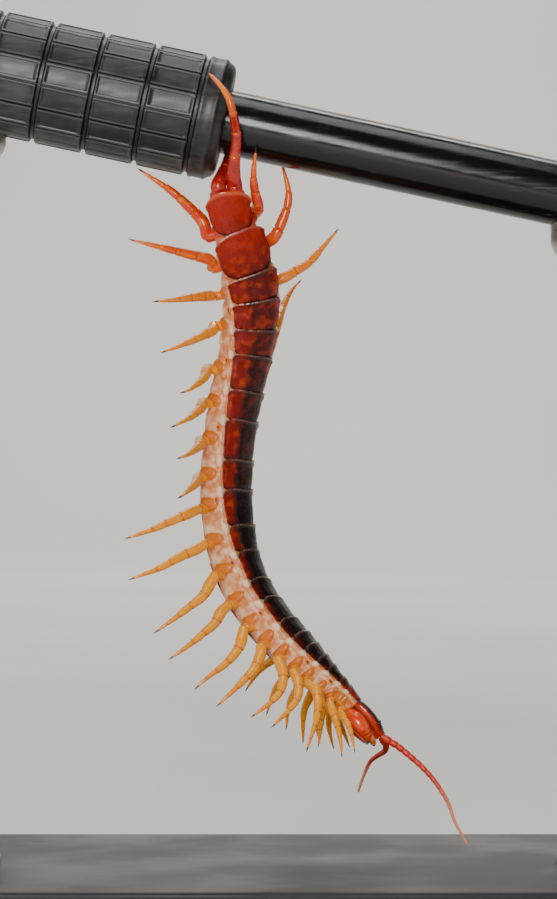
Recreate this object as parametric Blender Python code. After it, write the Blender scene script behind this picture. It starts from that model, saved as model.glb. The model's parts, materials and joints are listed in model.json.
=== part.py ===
"""Solids of a Vietnamese giant centipede that hangs head down from a padded bar, on a display stand.

The frame is in metres, +Z up, with the base standing on z = 0 and the photograph's camera on the -Y side.
Shapes are worked out in millimetres. The animal's back faces the camera at its tail and +X at its head, so
its right legs are on the -X side of the trunk.
"""

import math

import bmesh
import bpy
import numpy as np
from mathutils import Matrix, Vector

METRES = 0.001  # one millimetre
GAP = 0.3  # clear space between neighbouring solids

# The photograph's frame: 557 x 899 pixels, at 0.25 mm a pixel in the plane of the bar's axis (y = 0).
PHOTO_MIDDLE = (278.5, 449.5)
MM_PER_PIXEL = 0.25
CAMERA_DISTANCE = 900.0
CAMERA_HEIGHT = 110.9

# The bar: a tube of 5/8 inch, with a rubber grip over its left part.
SHAFT_RADIUS = 8.05
GRIP_RADIUS = 15.3
BAR_TILT = math.radians(12.2)
BAR_MIDDLE = Vector((5.4, 0.0, 188.8))
BAR_ENDS = (-79.0, 78.0)  # from left to right along X
COLLAR_END = -13.2
GROOVE_PITCH = 13.0
GROOVE_LAST = -20.4  # the groove next to the collar
GROOVE_COUNT = 5
GROOVE_WIDTH = 1.6
GROOVE_DEPTH = 0.6
TILE_ROWS = 16

# The stand.
BASE_SIZE = (184.0, 128.0, 8.0)
BASE_CORNER = 9.0
ROD_RADIUS = 3.5
ROD_PLACE = 74.5
SADDLE_RADIUS = 6.5
SADDLE_HEIGHT = 9.0

# Length of each segment's back plate along the body, from the last one to the first.
SEGMENT_LENGTH = {
    21: 9.8, 20: 11.4, 19: 7.6, 18: 7.9, 17: 6.7, 16: 9.4, 15: 7.6, 14: 10.4, 13: 7.7, 12: 9.8, 11: 7.4,
    10: 9.3, 9: 6.8, 8: 7.4, 7: 4.8, 6: 3.8, 5: 3.9, 4: 3.1, 3: 4.0, 2: 2.5, 1: 3.8,
}
HEAD_LENGTH = 9.7

# The trunk's width and height at some segments, and the turn of its back away from the camera, in degrees.
TRUNK_WIDTH = {
    21: 9.2, 20: 12.4, 19: 13.8, 14: 14.0, 12: 14.4, 10: 14.6, 8: 14.6, 6: 14.0, 4: 12.4, 1: 10.6,
}
TRUNK_HEIGHT = {
    21: 6.2, 20: 8.4, 19: 9.4, 17: 9.8, 14: 10.4, 12: 10.8, 10: 11.2, 8: 11.0, 6: 10.2, 4: 8.8, 1: 6.6,
}
BACK_TURN = {
    21: 10, 20: 14, 19: 21, 18: 29, 17: 38, 16: 45, 15: 50, 14: 54, 13: 56, 12: 60, 11: 66, 10: 74, 8: 79,
    7: 78, 6: 79, 5: 82, 3: 90, 1: 97,
}

# The trunk is made in lengths, each named by its first and last segment.
TRUNK_LENGTHS = ((21, 17), (16, 13), (12, 9), (8, 5), (4, 1))

# Route of the body's middle line from the tail's end to the head: pixels across and down, and mm behind the bar.
BODY_ROUTE = (
    (227, 192, -5), (229, 212, -3.8), (239, 243, -0.8), (248, 275, 3.4), (251, 305, 6.6), (246.5, 345, 8.8),
    (239, 380, 9.6), (231.5, 420, 10), (227, 460, 10), (226, 500, 9.8), (229, 530, 9.2), (235, 560, 8.2),
    (248, 592, 6), (268.5, 622, 2.6), (292, 648, -0.3), (318, 674, -2.2), (345, 702, -3.4), (376, 737, -4.4),
)

# Angles round a section, from the middle of the back (0) to the middle of the belly (180).
SECTION_ANGLES = (0, 16, 31, 45, 56, 63, 77, 92, 108, 126, 150, 180)
PLATE_EDGE = 58
BELLY_EDGE = 148
RING_SHARES = (0.03, 0.18, 0.42, 0.72, 0.94)  # rings along each segment, from its rear edge
# Where a leg stands: degrees from the middle of the back, and the share of its segment behind it.
LEG_ANGLE = {
    20: 124, 19: 124, 18: 116, 17: 106, 16: 104, 14: 99, 12: 99, 10: 104, 8: 110, 6: 100, 5: 100, 4: 105,
    3: 110, 1: 117,
}
LEG_TURN = 0.35  # how far legs 1 to 18 have turned towards their first seen place by their next point
LEG_SHARE = {
    20: 0.04, 19: -0.25, 18: -0.15, 17: 0.05, 16: 0.58, 13: 0.58, 12: 0.45, 9: 0.43, 8: 0.4, 7: 0.27, 6: 0.3,
    5: 0.4, 4: 0.48, 3: 0.6, 1: 0.65,
}

LEG_LENGTH = {
    1: 14.6, 2: 16.5, 3: 17.0, 4: 21.0, 5: 21.2, 6: 22.0, 7: 23.0, 8: 23.6, 9: 24.2, 10: 24.8, 11: 24.6,
    12: 24.2, 13: 23.5, 14: 23.5, 15: 23.5, 16: 23.5, 17: 23.5, 18: 24.2, 19: 26.0, 20: 28.5,
}
# Where each leg shows in the photograph, in pixels from its root to its foot. A third number is the foot's
# known place in mm behind the bar; other feet are as near or as far as the leg's length allows.
RIGHT_LINES = {
    20: ((203, 222), (186, 204), (170, 190), (155, 180), (137, 168, 3.0)),
    19: ((210, 260), (192, 255), (160, 247), (128, 239)), 18: ((208, 296), (190, 298), (170, 300.5), (152, 301.5)),
    17: ((212, 331), (198, 338), (180, 346), (160, 353)), 16: ((204, 378), (195, 386), (187, 391), (179, 393)),
    15: ((200, 409), (191, 417), (182, 422), (170, 428)), 14: ((200, 445), (192, 452), (185, 456), (176, 459)),
    13: ((197, 482), (189, 490), (183, 495), (177, 499)),
    12: ((192, 512), (174, 520), (156, 528), (140, 534), (124, 539)),
    11: ((197, 549), (180, 557), (160, 568), (142, 575), (128, 580)),
    10: ((210, 584), (203, 596), (192, 605), (175, 618), (153, 634)),
    9: ((221, 612), (215, 623), (205, 632), (188, 646), (168, 660)),
    8: ((240, 645), (233, 656), (223, 666), (207, 678), (194, 690)),
    7: ((260, 656), (254, 669), (244, 680), (231, 693), (216, 707)),
    6: ((283, 674), (281, 690), (271, 702), (250, 718)), 5: ((298, 683), (298, 696), (290, 709), (271, 728)),
    4: ((316.5, 691), (317, 716), (306, 753, -22)), 3: ((322, 709), (320.5, 730), (318, 748, -11.5)),
    2: ((338, 728), (341, 745), (342, 758)), 1: ((349, 727), (353, 742), (355, 753)),
}
LEFT_LINES = {
    20: ((258, 207), (255, 192), (253.5, 175), (256, 147, -7.6)),
    19: ((275, 236), (283, 219), (288, 203), (288, 188), (281, 160, 6.4)),
    18: ((289, 275), (299, 269), (311, 261), (324, 246), (339, 228)), 17: ((283, 306), (292, 290), (302, 279)),
    16: ((279, 329), (283.5, 317)), 7: ((262, 668), (251, 682), (245, 692)), 6: ((275, 690), (266, 716)),
    5: ((290, 702), (286, 730)), 4: ((304, 712), (303, 744)), 3: ((316, 718), (320, 744)),
    2: ((329, 728), (334, 750)), 1: ((343, 730), (350, 748)),
}
# The leg's radius in mm at shares of its length: joint by joint, then the claw.
LEG_PROFILE = (
    (0.0, 1.15), (0.05, 1.3), (0.08, 1.15), (0.2, 1.5), (0.315, 1.15), (0.42, 1.2), (0.525, 0.9), (0.6, 0.95),
    (0.69, 0.66), (0.83, 0.5), (0.915, 0.34), (0.955, 0.26),
)
LEG_SIDES = 6

# The last legs grip the bar: the left one over its front, the right one behind it.
LAST_LEG_LEFT = (
    (233.5, 176, -6.6), (234.3, 160, -9.0), (236.5, 139, -10.6), (235, 124, -13.2), (232.5, 111, -16.6),
    (228.5, 98, -16.9), (220, 85, -15.6), (208.5, 73, -13.2),
)
LAST_LEG_RIGHT = (
    (222.8, 174, -1.6), (226.6, 164, 2.6), (230.5, 150, 8.4), (235, 133, 11.2), (240, 116, 11.0),
    (246, 104, 10.4), (251, 98, 9.9),
)
LAST_LEG_SPREAD = 2.0  # from the tail's middle to each root
LAST_LEG_PROFILE = (
    (0.0, 1.5), (0.06, 1.75), (0.16, 1.6), (0.27, 1.3), (0.36, 1.26), (0.45, 1.12), (0.55, 1.1), (0.64, 0.95),
    (0.74, 0.9), (0.83, 0.64), (0.93, 0.45), (0.965, 0.36),
)

ANTENNA_RIGHT = (
    (384, 737.5, -6.2), (391, 742, -6.4), (400, 748, -6.8), (420, 765, -8), (436, 783, -9.5), (448, 803, -10.8),
    (455, 822, -11.3), (467, 844, -11.3),
)
ANTENNA_LEFT = (
    (382.5, 740, -2), (386, 745, -0.2), (384.5, 751, 4), (377, 756, 9), (370, 762, 13.5), (364, 775, 17.3),
    (358, 792, 20.3),
)
ANTENNA_ARTICLES = 18
ANTENNA_RADII = (1.0, 0.36)  # at the root and at the tip

# Half widths, top and bottom of the head capsule in mm, at shares of its length.
HEAD_SECTIONS = (
    (0.0, 4.3, 2.8, 0.5), (0.1, 4.7, 3.05, 0.5), (0.3, 5.0, 3.25, 0.55), (0.52, 4.95, 3.2, 0.55),
    (0.7, 4.5, 2.95, 0.55), (0.85, 3.7, 2.6, 0.5), (0.95, 2.9, 2.2, 0.5), (1.0, 2.4, 1.9, 0.6),
)
# The plate under the head that carries the fangs, in the same terms.
FANG_PLATE_SECTIONS = (
    (0.0, 2.3, -0.1, -3.2), (0.1, 2.4, 0.0, -3.5), (0.3, 2.4, 0.0, -3.5), (0.44, 2.0, -0.4, -3.1),
)
# Route of a fang beside and under the head: mm forward from the head's rear, sideways, and above its axis.
FANG_ROUTE = (
    (1.6, 4.1, -1.4), (3.6, 5.0, -1.5), (6.0, 5.05, -1.7), (7.9, 3.95, -2.1), (8.9, 2.35, -2.5), (9.0, 0.8, -2.8),
)
FANG_PROFILE = ((0.0, 1.6), (0.12, 1.9), (0.4, 1.9), (0.55, 1.45), (0.66, 1.15), (0.8, 0.7), (0.92, 0.35))
EYE_PLACE = (0.74, 64.0)  # share of the head's length, and degrees from the middle of its top
EYE_PAD_RADIUS = 0.85
OCELLUS_RADIUS = 0.34

COLOURS = {
    "shell": ((0.10, 0.02, 0.012), 0.28, 0.0),
    "leg": ((0.72, 0.27, 0.05), 0.35, 0.0),
    "last_leg": ((0.50, 0.03, 0.015), 0.3, 0.0),
    "fang": ((0.55, 0.07, 0.02), 0.25, 0.0),
    "eye": ((0.01, 0.01, 0.012), 0.1, 0.0),
    "rubber": ((0.05, 0.05, 0.052), 0.75, 0.0),
    "shaft": ((0.006, 0.006, 0.007), 0.2, 0.0),
    "base": ((0.03, 0.03, 0.032), 0.45, 0.0),
    "rod": ((0.6, 0.6, 0.6), 0.3, 1.0),
}


def seen(across, down, depth=0.0):
    """The point in mm that shows at a pixel of the photograph, `depth` mm behind the bar's axis."""
    spread = MM_PER_PIXEL * (1 + depth / CAMERA_DISTANCE)
    x = (across - PHOTO_MIDDLE[0]) * spread
    return Vector((x, depth, CAMERA_HEIGHT + (PHOTO_MIDDLE[1] - down) * spread))


def spot(point):
    """The pixel of the photograph at which a point in mm shows."""
    spread = MM_PER_PIXEL * (1 + point.y / CAMERA_DISTANCE)
    return Vector((point.x / spread + PHOTO_MIDDLE[0], PHOTO_MIDDLE[1] - (point.z - CAMERA_HEIGHT) / spread))


def material(name):
    """The Principled material of a named finish, made once."""
    if name in bpy.data.materials:
        return bpy.data.materials[name]
    colour, roughness, metallic = COLOURS[name]
    made = bpy.data.materials.new(name)
    made.use_nodes = True
    shader = made.node_tree.nodes["Principled BSDF"]
    shader.inputs["Base Color"].default_value = (*colour, 1.0)
    shader.inputs["Roughness"].default_value = roughness
    shader.inputs["Metallic"].default_value = metallic
    return made


def add_object(name, mesh, finish, hidden=False):
    """Puts a bmesh in mm into the scene as one object, in metres, with its faces pointing out."""
    bmesh.ops.recalc_face_normals(mesh, faces=mesh.faces)
    bmesh.ops.scale(mesh, vec=(METRES,) * 3, verts=mesh.verts)
    data = bpy.data.meshes.new(name)
    mesh.to_mesh(data)
    mesh.free()
    data.shade_smooth()
    data.set_sharp_from_angle(angle=math.radians(40))
    data.materials.append(material(finish))
    made = bpy.data.objects.new(name, data)
    bpy.context.scene.collection.objects.link(made)
    if hidden:
        made.hide_render = True
        made.display_type = "WIRE"
    return made


def loft(rings, tip=None):
    """A closed bmesh through rings of equal count, with flat ends, or a point at the far end."""
    mesh = bmesh.new()
    loops = [[mesh.verts.new(point) for point in ring] for ring in rings]
    for near, far in zip(loops, loops[1:]):
        for i in range(len(near)):
            mesh.faces.new((near[i - 1], near[i], far[i], far[i - 1]))
    mesh.faces.new(loops[0])
    if tip is None:
        mesh.faces.new(loops[-1])
        return mesh
    point = mesh.verts.new(tip)
    for i in range(len(loops[-1])):
        mesh.faces.new((loops[-1][i - 1], loops[-1][i], point))
    return mesh


def cut(target, cutter, solver="EXACT"):
    """Takes a hidden cutter's shape out of an object."""
    modifier = target.modifiers.new("cut", "BOOLEAN")
    modifier.operation = "DIFFERENCE"
    modifier.solver = solver
    modifier.object = cutter


class Curve:
    """A smooth curve through points in mm, walked by its length."""

    STEPS = 24  # samples between two points

    def __init__(self, points):
        points = np.array([tuple(point) for point in points], float)
        ends = np.vstack([2 * points[0] - points[1], points, 2 * points[-1] - points[-2]])
        t = np.linspace(0, 1, self.STEPS, endpoint=False)[:, None]
        pieces = []
        for a, b, c, d in zip(ends, ends[1:], ends[2:], ends[3:]):
            cubic = -a + 3 * b - 3 * c + d
            pieces.append(0.5 * (2 * b + (c - a) * t + (2 * a - 5 * b + 4 * c - d) * t**2 + cubic * t**3))
        self.samples = np.vstack([*pieces, points[-1:]])
        steps = np.linalg.norm(np.diff(self.samples, axis=0), axis=1)
        self.distances = np.concatenate([[0.0], np.cumsum(steps)])
        self.length = self.distances[-1]

    def at(self, distance):
        """The point at a distance along the curve, which runs on straight past its ends."""
        inside = min(max(distance, 0.0), self.length)
        point = Vector([np.interp(inside, self.distances, self.samples[:, axis]) for axis in range(3)])
        if inside == distance:
            return point
        end = self.at(0.0) - self.at(0.5) if distance < 0 else self.at(self.length) - self.at(self.length - 0.5)
        return point + end.normalized() * abs(distance - inside)

    def direction(self, distance, reach=0.6):
        """The way the curve runs at a distance."""
        return (self.at(distance + reach) - self.at(distance - reach)).normalized()


def named_curve(values, place):
    """Reads a table of values by segment number at a place counted in segments, with straight runs between."""
    numbers = sorted(values)
    return float(np.interp(place, numbers, [values[number] for number in numbers]))


class Body:
    """The animal's long axis, its segments, and the surface of its trunk."""

    def __init__(self):
        self.axis = Curve([seen(*stop) for stop in BODY_ROUTE])
        self.rear = {}
        reached = 0.0
        for number in sorted(SEGMENT_LENGTH, reverse=True):
            self.rear[number] = reached
            reached += SEGMENT_LENGTH[number]
        self.neck = reached

    def segment_at(self, distance):
        """The segment's number at a distance from the tail's end, and the share of it that lies behind."""
        number = 21
        while number > 1 and distance >= self.rear[number - 1]:
            number -= 1
        share = (distance - self.rear[number]) / SEGMENT_LENGTH[number]
        return number, min(max(share, 0.0), 1.0)

    def leg_distance(self, number):
        """How far from the tail's end a segment's legs stand."""
        return self.rear[number] + named_curve(LEG_SHARE, number) * SEGMENT_LENGTH[number]

    def frame(self, distance):
        """The middle of the section at a distance, and its forward, back-facing and right directions."""
        number, share = self.segment_at(distance)
        turn = math.radians(named_curve(BACK_TURN, number + 0.5 - share))
        forward = self.axis.direction(distance, reach=3.0)
        to_camera = Vector((0, -1, 0))
        to_camera = (to_camera - forward * to_camera.dot(forward)).normalized()
        side = forward.cross(to_camera)
        back = to_camera * math.cos(turn) - side * math.sin(turn)
        return self.axis.at(distance), forward, back, forward.cross(back)

    def relief(self, distance, angle):
        """How far the surface stands out, in mm: plates on the back and belly, swellings at the legs' roots."""
        number, share = self.segment_at(distance)
        side = abs(angle)
        if side <= PLATE_EDGE:
            return float(np.interp(share, (0.0, 0.1, 0.3, 0.75, 1.0), (0.45, 0.5, 0.3, 0.3, 0.0)))
        if side >= BELLY_EDGE:
            return float(np.interp(share, (0.0, 0.2, 0.8, 1.0), (0.0, 0.2, 0.2, 0.0)))
        nearest = min(abs(distance - self.leg_distance(other)) for other in LEG_LENGTH)
        leg_angle = named_curve(LEG_ANGLE, number + 0.5 - share)
        root = 0.7 * math.exp(-((nearest / 1.7) ** 2) - ((side - leg_angle) / 20) ** 2)
        return root - float(np.interp(share, (0.0, 0.12, 0.88, 1.0), (0.3, 0.0, 0.0, 0.3)))

    def surface(self, distance, angle):
        """The point of the trunk's surface at a distance and an angle from the back, + on the right side."""
        number, share = self.segment_at(distance)
        place = number + 0.5 - share
        middle, _, back, right = self.frame(distance)
        across, up = math.sin(math.radians(angle)), math.cos(math.radians(angle))
        across = math.copysign(abs(across) ** 0.8, across) * named_curve(TRUNK_WIDTH, place) / 2
        shape = up**0.8 if up >= 0 else -0.95 * abs(up) ** 0.55
        up = shape * named_curve(TRUNK_HEIGHT, place) / 2
        flat = right * across + back * up
        return middle + flat + flat.normalized() * self.relief(distance, angle)

    def outward(self, distance, angle):
        """The way that the surface faces, taken over a patch as wide as a leg."""
        along = self.surface(distance + 1.0, angle) - self.surface(distance - 1.0, angle)
        round_it = self.surface(distance, angle + 10) - self.surface(distance, angle - 10)
        normal = along.cross(round_it).normalized()
        middle = self.axis.at(distance)
        return normal if normal.dot(self.surface(distance, angle) - middle) > 0 else -normal

    def section(self, distance):
        """A closed ring of surface points."""
        right = list(SECTION_ANGLES)
        return [self.surface(distance, angle) for angle in right + [-angle for angle in right[-2:0:-1]]]


def make_trunk(body):
    """The trunk in lengths that meet face to face."""
    for last, first in TRUNK_LENGTHS:
        distances = []
        for number in range(last, first - 1, -1):
            distances += [body.rear[number] + share * SEGMENT_LENGTH[number] for share in RING_SHARES]
        front = body.rear[first] + SEGMENT_LENGTH[first] - GAP / 2
        rings = [body.section(distance) for distance in [body.rear[last] + GAP / 2, *distances[1:], front]]
        add_object(f"trunk_{last:02d}_{first:02d}", loft(rings), "shell")


def tube_rings(curve, profile, sides, length=None):
    """Rings of a tapering tube along a curve; the profile's shares are of the given length."""
    length = length or curve.length
    forward = curve.direction(0.0)
    across = forward.cross(Vector((0.3, 0.2, 1.0))).normalized()
    rings = []
    for share, radius in profile:
        forward = curve.direction(share * length)
        across = (across - forward * across.dot(forward)).normalized()
        other = forward.cross(across)
        middle = curve.at(share * length)
        turns = [2 * math.pi * i / sides for i in range(sides)]
        rings.append([middle + radius * (across * math.cos(turn) + other * math.sin(turn)) for turn in turns])
    return rings


def bezier(start, first, second, end):
    """A Curve along a cubic Bezier."""
    shares = [i / 12 for i in range(13)]
    return Curve([
        start * (1 - t) ** 3 + first * 3 * t * (1 - t) ** 2 + second * 3 * t * t * (1 - t) + end * t**3
        for t in shares
    ])


def leg_curve(body, number, side):
    """The middle line of a walking leg, from its root to its foot; side is 1 on the right and -1 on the left."""
    length = LEG_LENGTH[number]
    distance = body.leg_distance(number)
    angle = side * named_curve(LEG_ANGLE, number)
    normal = body.outward(distance, angle)
    root = body.surface(distance, angle) + normal * 1.5 * GAP
    line = (RIGHT_LINES if side > 0 else LEFT_LINES).get(number)
    if line is None:
        _, forward, back, right = body.frame(distance)
        drop = math.radians(18 + 2.2 * max(0, number - 8))
        lean = 0.12 * math.sin(1.3 * number) + 0.1
        way = (right * side * math.cos(drop) - back * math.sin(drop) + forward * lean).normalized()
        tip = root + way * length * 0.92
        lead = forward * 0.1 * length
        return bezier(root, root + normal * 0.16 * length + lead, root.lerp(tip, 0.62) + lead, tip)
    spots = [spot(root), *[Vector(point[:2]) for point in line]]
    steps = [0.0]
    for near, far in zip(spots, spots[1:]):
        steps.append(steps[-1] + (far - near).length)

    def towards(depth):
        shares = [1 - (1 - step / steps[-1]) ** 1.7 for step in steps[1:]]
        points = [seen(*place, root.y + depth * share) for place, share in zip(spots[1:], shares)]
        out = root + normal * (0.05 if side > 0 else 0.09) * length
        turned = [out.lerp(points[0], LEG_TURN)] if number < 19 else []
        return Curve([root, out, *turned, *points])

    if len(line[-1]) == 3:
        return towards(line[-1][2] - root.y)
    # The foot's depth is whatever gives the leg its full length.
    nearer, further = 0.0, length
    for _ in range(20):
        middle = (nearer + further) / 2
        if towards(-side * middle).length < length:
            nearer = middle
        else:
            further = middle
    return towards(-side * nearer)


def make_legs(body):
    """The twenty pairs of walking legs."""
    for number in sorted(LEG_LENGTH):
        for side, word in ((1, "right"), (-1, "left")):
            curve = leg_curve(body, number, side)
            size = (LEG_LENGTH[number] / 23.5) ** 0.8
            profile = [(share, radius * size) for share, radius in LEG_PROFILE]
            rings = tube_rings(curve, profile, LEG_SIDES)
            add_object(f"leg_{word}_{number:02d}", loft(rings, tip=curve.at(curve.length)), "leg")


def make_last_legs(body):
    """The long pair at the tail, which holds the bar."""
    tail, forward, _, right = body.frame(0.0)
    for word, side, route in (("left", -1, LAST_LEG_LEFT), ("right", 1, LAST_LEG_RIGHT)):
        root = tail + right * side * LAST_LEG_SPREAD
        curve = Curve([root - forward * 2 * GAP, root - forward * 1.9, *[seen(*stop) for stop in route]])
        rings = tube_rings(curve, LAST_LEG_PROFILE, 8)
        add_object(f"last_leg_{word}", loft(rings, tip=curve.at(curve.length)), "last_leg")


def make_antennae():
    """Two feelers of many short articles."""
    for word, route in (("left", ANTENNA_LEFT), ("right", ANTENNA_RIGHT)):
        curve = Curve([seen(*stop) for stop in route])
        profile = []
        for article in range(ANTENNA_ARTICLES):
            for share, swell in ((0.0, 0.86), (0.55, 1.0)):
                place = (article + share) / ANTENNA_ARTICLES
                radius = ANTENNA_RADII[0] + (ANTENNA_RADII[1] - ANTENNA_RADII[0]) * place**0.8
                profile.append((place, radius * swell))
        rings = tube_rings(curve, profile, 6)
        add_object(f"antenna_{word}", loft(rings, tip=curve.at(curve.length)), "last_leg")


class Head:
    """The head capsule's own frame, from its rear face forward."""

    def __init__(self, body):
        self.rear, self.forward, self.back, self.right = body.frame(body.neck)

    def place(self, forward, sideways, up):
        """A point in mm given forward from the head's rear, to the right, and above its axis."""
        return self.rear + self.forward * forward + self.right * sideways + self.back * up

    def shell_point(self, share, angle, sections):
        """A point of a capsule at a share of the head's length and an angle from the middle of its top."""
        shares = [row[0] for row in sections]
        half, top, bottom = (np.interp(share, shares, [row[k] for row in sections]) for k in (1, 2, 3))
        across, up = math.sin(math.radians(angle)), math.cos(math.radians(angle))
        across = math.copysign(abs(across) ** 0.75, across) * half
        up = math.copysign(abs(up) ** 0.75, up)
        height = (top + bottom) / 2 + up * (top - bottom) / 2
        return self.place(GAP / 2 + share * HEAD_LENGTH, across, height)

    def capsule(self, sections, angles):
        """A closed body through all the sections."""
        rings = [[self.shell_point(row[0], angle, sections) for angle in angles] for row in sections]
        return loft(rings)


def make_head(body):
    """The head capsule, the plate under it, the pair of fangs and the two groups of eyes."""
    head = Head(body)
    around = [i * 360 / 20 for i in range(20)]
    add_object("head", head.capsule(HEAD_SECTIONS, around), "shell")
    coarse = [i * 360 / 14 for i in range(14)]
    add_object("fang_plate", head.capsule(FANG_PLATE_SECTIONS, coarse), "fang")
    for side, word in ((1, "right"), (-1, "left")):
        curve = Curve([head.place(forward, side * sideways, up) for forward, sideways, up in FANG_ROUTE])
        rings = tube_rings(curve, FANG_PROFILE, 8)
        add_object(f"fang_{word}", loft(rings, tip=curve.at(curve.length)), "fang")
        make_eyes(head, side, word)


def make_eyes(head, side, word):
    """Four small domes in a diamond on one pad, facing out from the head's side."""
    share, angle = EYE_PLACE
    place = head.shell_point(share, side * angle, HEAD_SECTIONS)
    along = head.shell_point(share + 0.08, side * angle, HEAD_SECTIONS) - place
    round_it = head.shell_point(share, side * (angle + 12), HEAD_SECTIONS) - place
    normal = along.cross(round_it).normalized()
    if normal.dot(head.right) * side < 0:
        normal = -normal
    along.normalize()
    other = normal.cross(along)
    spots = [(0.42, 0.0), (-0.42, 0.0), (0.0, 0.42), (0.0, -0.42)]

    def height(x, y):
        domes = [OCELLUS_RADIUS**2 - (x - a) ** 2 - (y - b) ** 2 for a, b in spots]
        return 0.5 + math.sqrt(max(0.0, *domes))

    floor = place + normal * (GAP + 0.15)
    rings = []
    turns = [2 * math.pi * i / 16 for i in range(16)]
    for radius, flat in ((EYE_PAD_RADIUS, True), (EYE_PAD_RADIUS, False), (0.62, False), (0.42, False), (0.2, False)):
        ring = []
        for turn in turns:
            x, y = radius * math.cos(turn), radius * math.sin(turn)
            ring.append(floor + along * x + other * y + normal * (0.0 if flat else height(x, y)))
        rings.append(ring)
    add_object(f"eyes_{word}", loft(rings, tip=floor + normal * height(0, 0)), "eye")


def bar_frame():
    """The bar's matrix in mm: its own X runs along it, down to the right."""
    return Matrix.Translation(BAR_MIDDLE) @ Matrix.Rotation(BAR_TILT, 4, "Y")


def bar_distance(x):
    """The place along the bar whose axis lies at a world X."""
    return (x - BAR_MIDDLE.x) / math.cos(BAR_TILT)


def turned_on_bar(rows, sides, radius_at):
    """A closed body round the bar's axis; rows are places along it, radius_at gives each ring's radius."""
    frame = bar_frame()
    rings = []
    for row in rows:
        ring = []
        for i in range(sides):
            turn = 2 * math.pi * i / sides
            radius = radius_at(row, i)
            ring.append(frame @ Vector((row[0], radius * math.cos(turn), radius * math.sin(turn))))
        rings.append(ring)
    return loft(rings)


def make_bar():
    """The rubber grip, cut into tiles by grooves, over a plain round shaft."""
    left, right = (bar_distance(x) for x in BAR_ENDS)
    collar = bar_distance(COLLAR_END)
    rows = [(left, GRIP_RADIUS, True)]
    for index in range(GROOVE_COUNT - 1, -1, -1):
        middle = bar_distance(GROOVE_LAST) - index * GROOVE_PITCH
        half = GROOVE_WIDTH / 2
        if middle - half < left + 1.0:
            continue
        low = GRIP_RADIUS - GROOVE_DEPTH
        rows += [(middle - half, GRIP_RADIUS, True), (middle - half * 0.4, low, False)]
        rows += [(middle + half * 0.4, low, False), (middle + half, GRIP_RADIUS, index > 0)]
    rows += [(collar - 2.2, GRIP_RADIUS, False), (collar - 0.8, GRIP_RADIUS - 0.6, False)]
    rows += [(collar, GRIP_RADIUS - 2.2, False)]

    def grip_radius(row, i):
        _, radius, tiled = row
        return radius - GROOVE_DEPTH if tiled and i % 3 == 1 else radius

    grip = add_object("perch_grip", turned_on_bar(rows, 3 * TILE_ROWS, grip_radius), "rubber")
    bore_rows = [(left - 5, SHAFT_RADIUS + GAP), (collar + 5, SHAFT_RADIUS + GAP)]
    bore = turned_on_bar(bore_rows, 32, lambda row, i: row[1])
    cut(grip, add_object("bore_cutter", bore, "shaft", hidden=True))
    edge = 0.5
    shaft_rows = [(left, SHAFT_RADIUS - edge), (left + edge, SHAFT_RADIUS)]
    shaft_rows += [(right - edge, SHAFT_RADIUS), (right, SHAFT_RADIUS - edge)]
    add_object("perch_shaft", turned_on_bar(shaft_rows, 32, lambda row, i: row[1]), "shaft")


def make_stand():
    """A flat base, and a rod at each end of the bar with a saddle cut to the bar's round underside."""
    mesh = bmesh.new()
    bmesh.ops.create_cube(mesh, size=1.0)
    bmesh.ops.scale(mesh, vec=BASE_SIZE, verts=mesh.verts)
    bmesh.ops.translate(mesh, vec=(0, 0, BASE_SIZE[2] / 2), verts=mesh.verts)
    upright = [edge for edge in mesh.edges if abs(edge.verts[0].co.z - edge.verts[1].co.z) > 1.0]
    settings = {"affect": "EDGES", "profile": 0.5, "material": -1}
    bmesh.ops.bevel(mesh, geom=upright, offset=BASE_CORNER, segments=5, **settings)
    top = [edge for edge in mesh.edges if min(vert.co.z for vert in edge.verts) > BASE_SIZE[2] - 0.01]
    bmesh.ops.bevel(mesh, geom=top, offset=0.8, segments=2, **settings)
    add_object("stand_base", mesh, "base")

    for word, x, radius in (("left", -ROD_PLACE, GRIP_RADIUS), ("right", ROD_PLACE, SHAFT_RADIUS)):
        axis_height = BAR_MIDDLE.z - (x - BAR_MIDDLE.x) * math.tan(BAR_TILT)
        under = axis_height - radius / math.cos(BAR_TILT)
        foot = BASE_SIZE[2] + GAP
        profile = (
            (foot, 5.0), (foot + 2.0, 5.0), (foot + 3.0, ROD_RADIUS), (under - SADDLE_HEIGHT, ROD_RADIUS),
            (under - 3.0, SADDLE_RADIUS), (under + 4.0, SADDLE_RADIUS),
        )
        turns = [2 * math.pi * i / 20 for i in range(20)]
        rings = [[Vector((x + r * math.cos(t), r * math.sin(t), z)) for t in turns] for z, r in profile]
        rod = add_object(f"stand_rod_{word}", loft(rings), "rod")
        reach = [(bar_distance(x) - 25, radius + GAP), (bar_distance(x) + 25, radius + GAP)]
        cutter = turned_on_bar(reach, 48, lambda row, i: row[1])
        cut(rod, add_object(f"saddle_cutter_{word}", cutter, "rod", hidden=True))


def main():
    for item in list(bpy.data.objects):
        bpy.data.objects.remove(item, do_unlink=True)
    body = Body()
    make_trunk(body)
    make_legs(body)
    make_last_legs(body)
    make_head(body)
    make_antennae()
    make_bar()
    make_stand()


main()
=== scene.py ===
"""Looks of a Vietnamese giant centipede that hangs head down from a padded bar, on a display stand.

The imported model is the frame: metres, +Z up, the base standing on z = 0 and the camera on the -Y side. Fine
meshes take the place of its coarse solids, and every surface gets its finish here. Shapes are worked out in
millimetres. The animal's back faces the camera at its tail and +X at its head, so its right legs are on the
-X side of the trunk.
"""

import json
import logging
import math
from dataclasses import dataclass, field
from enum import Enum
from typing import Sequence

import bmesh
import bpy
import numpy as np
from mathutils import Matrix, Vector

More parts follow.
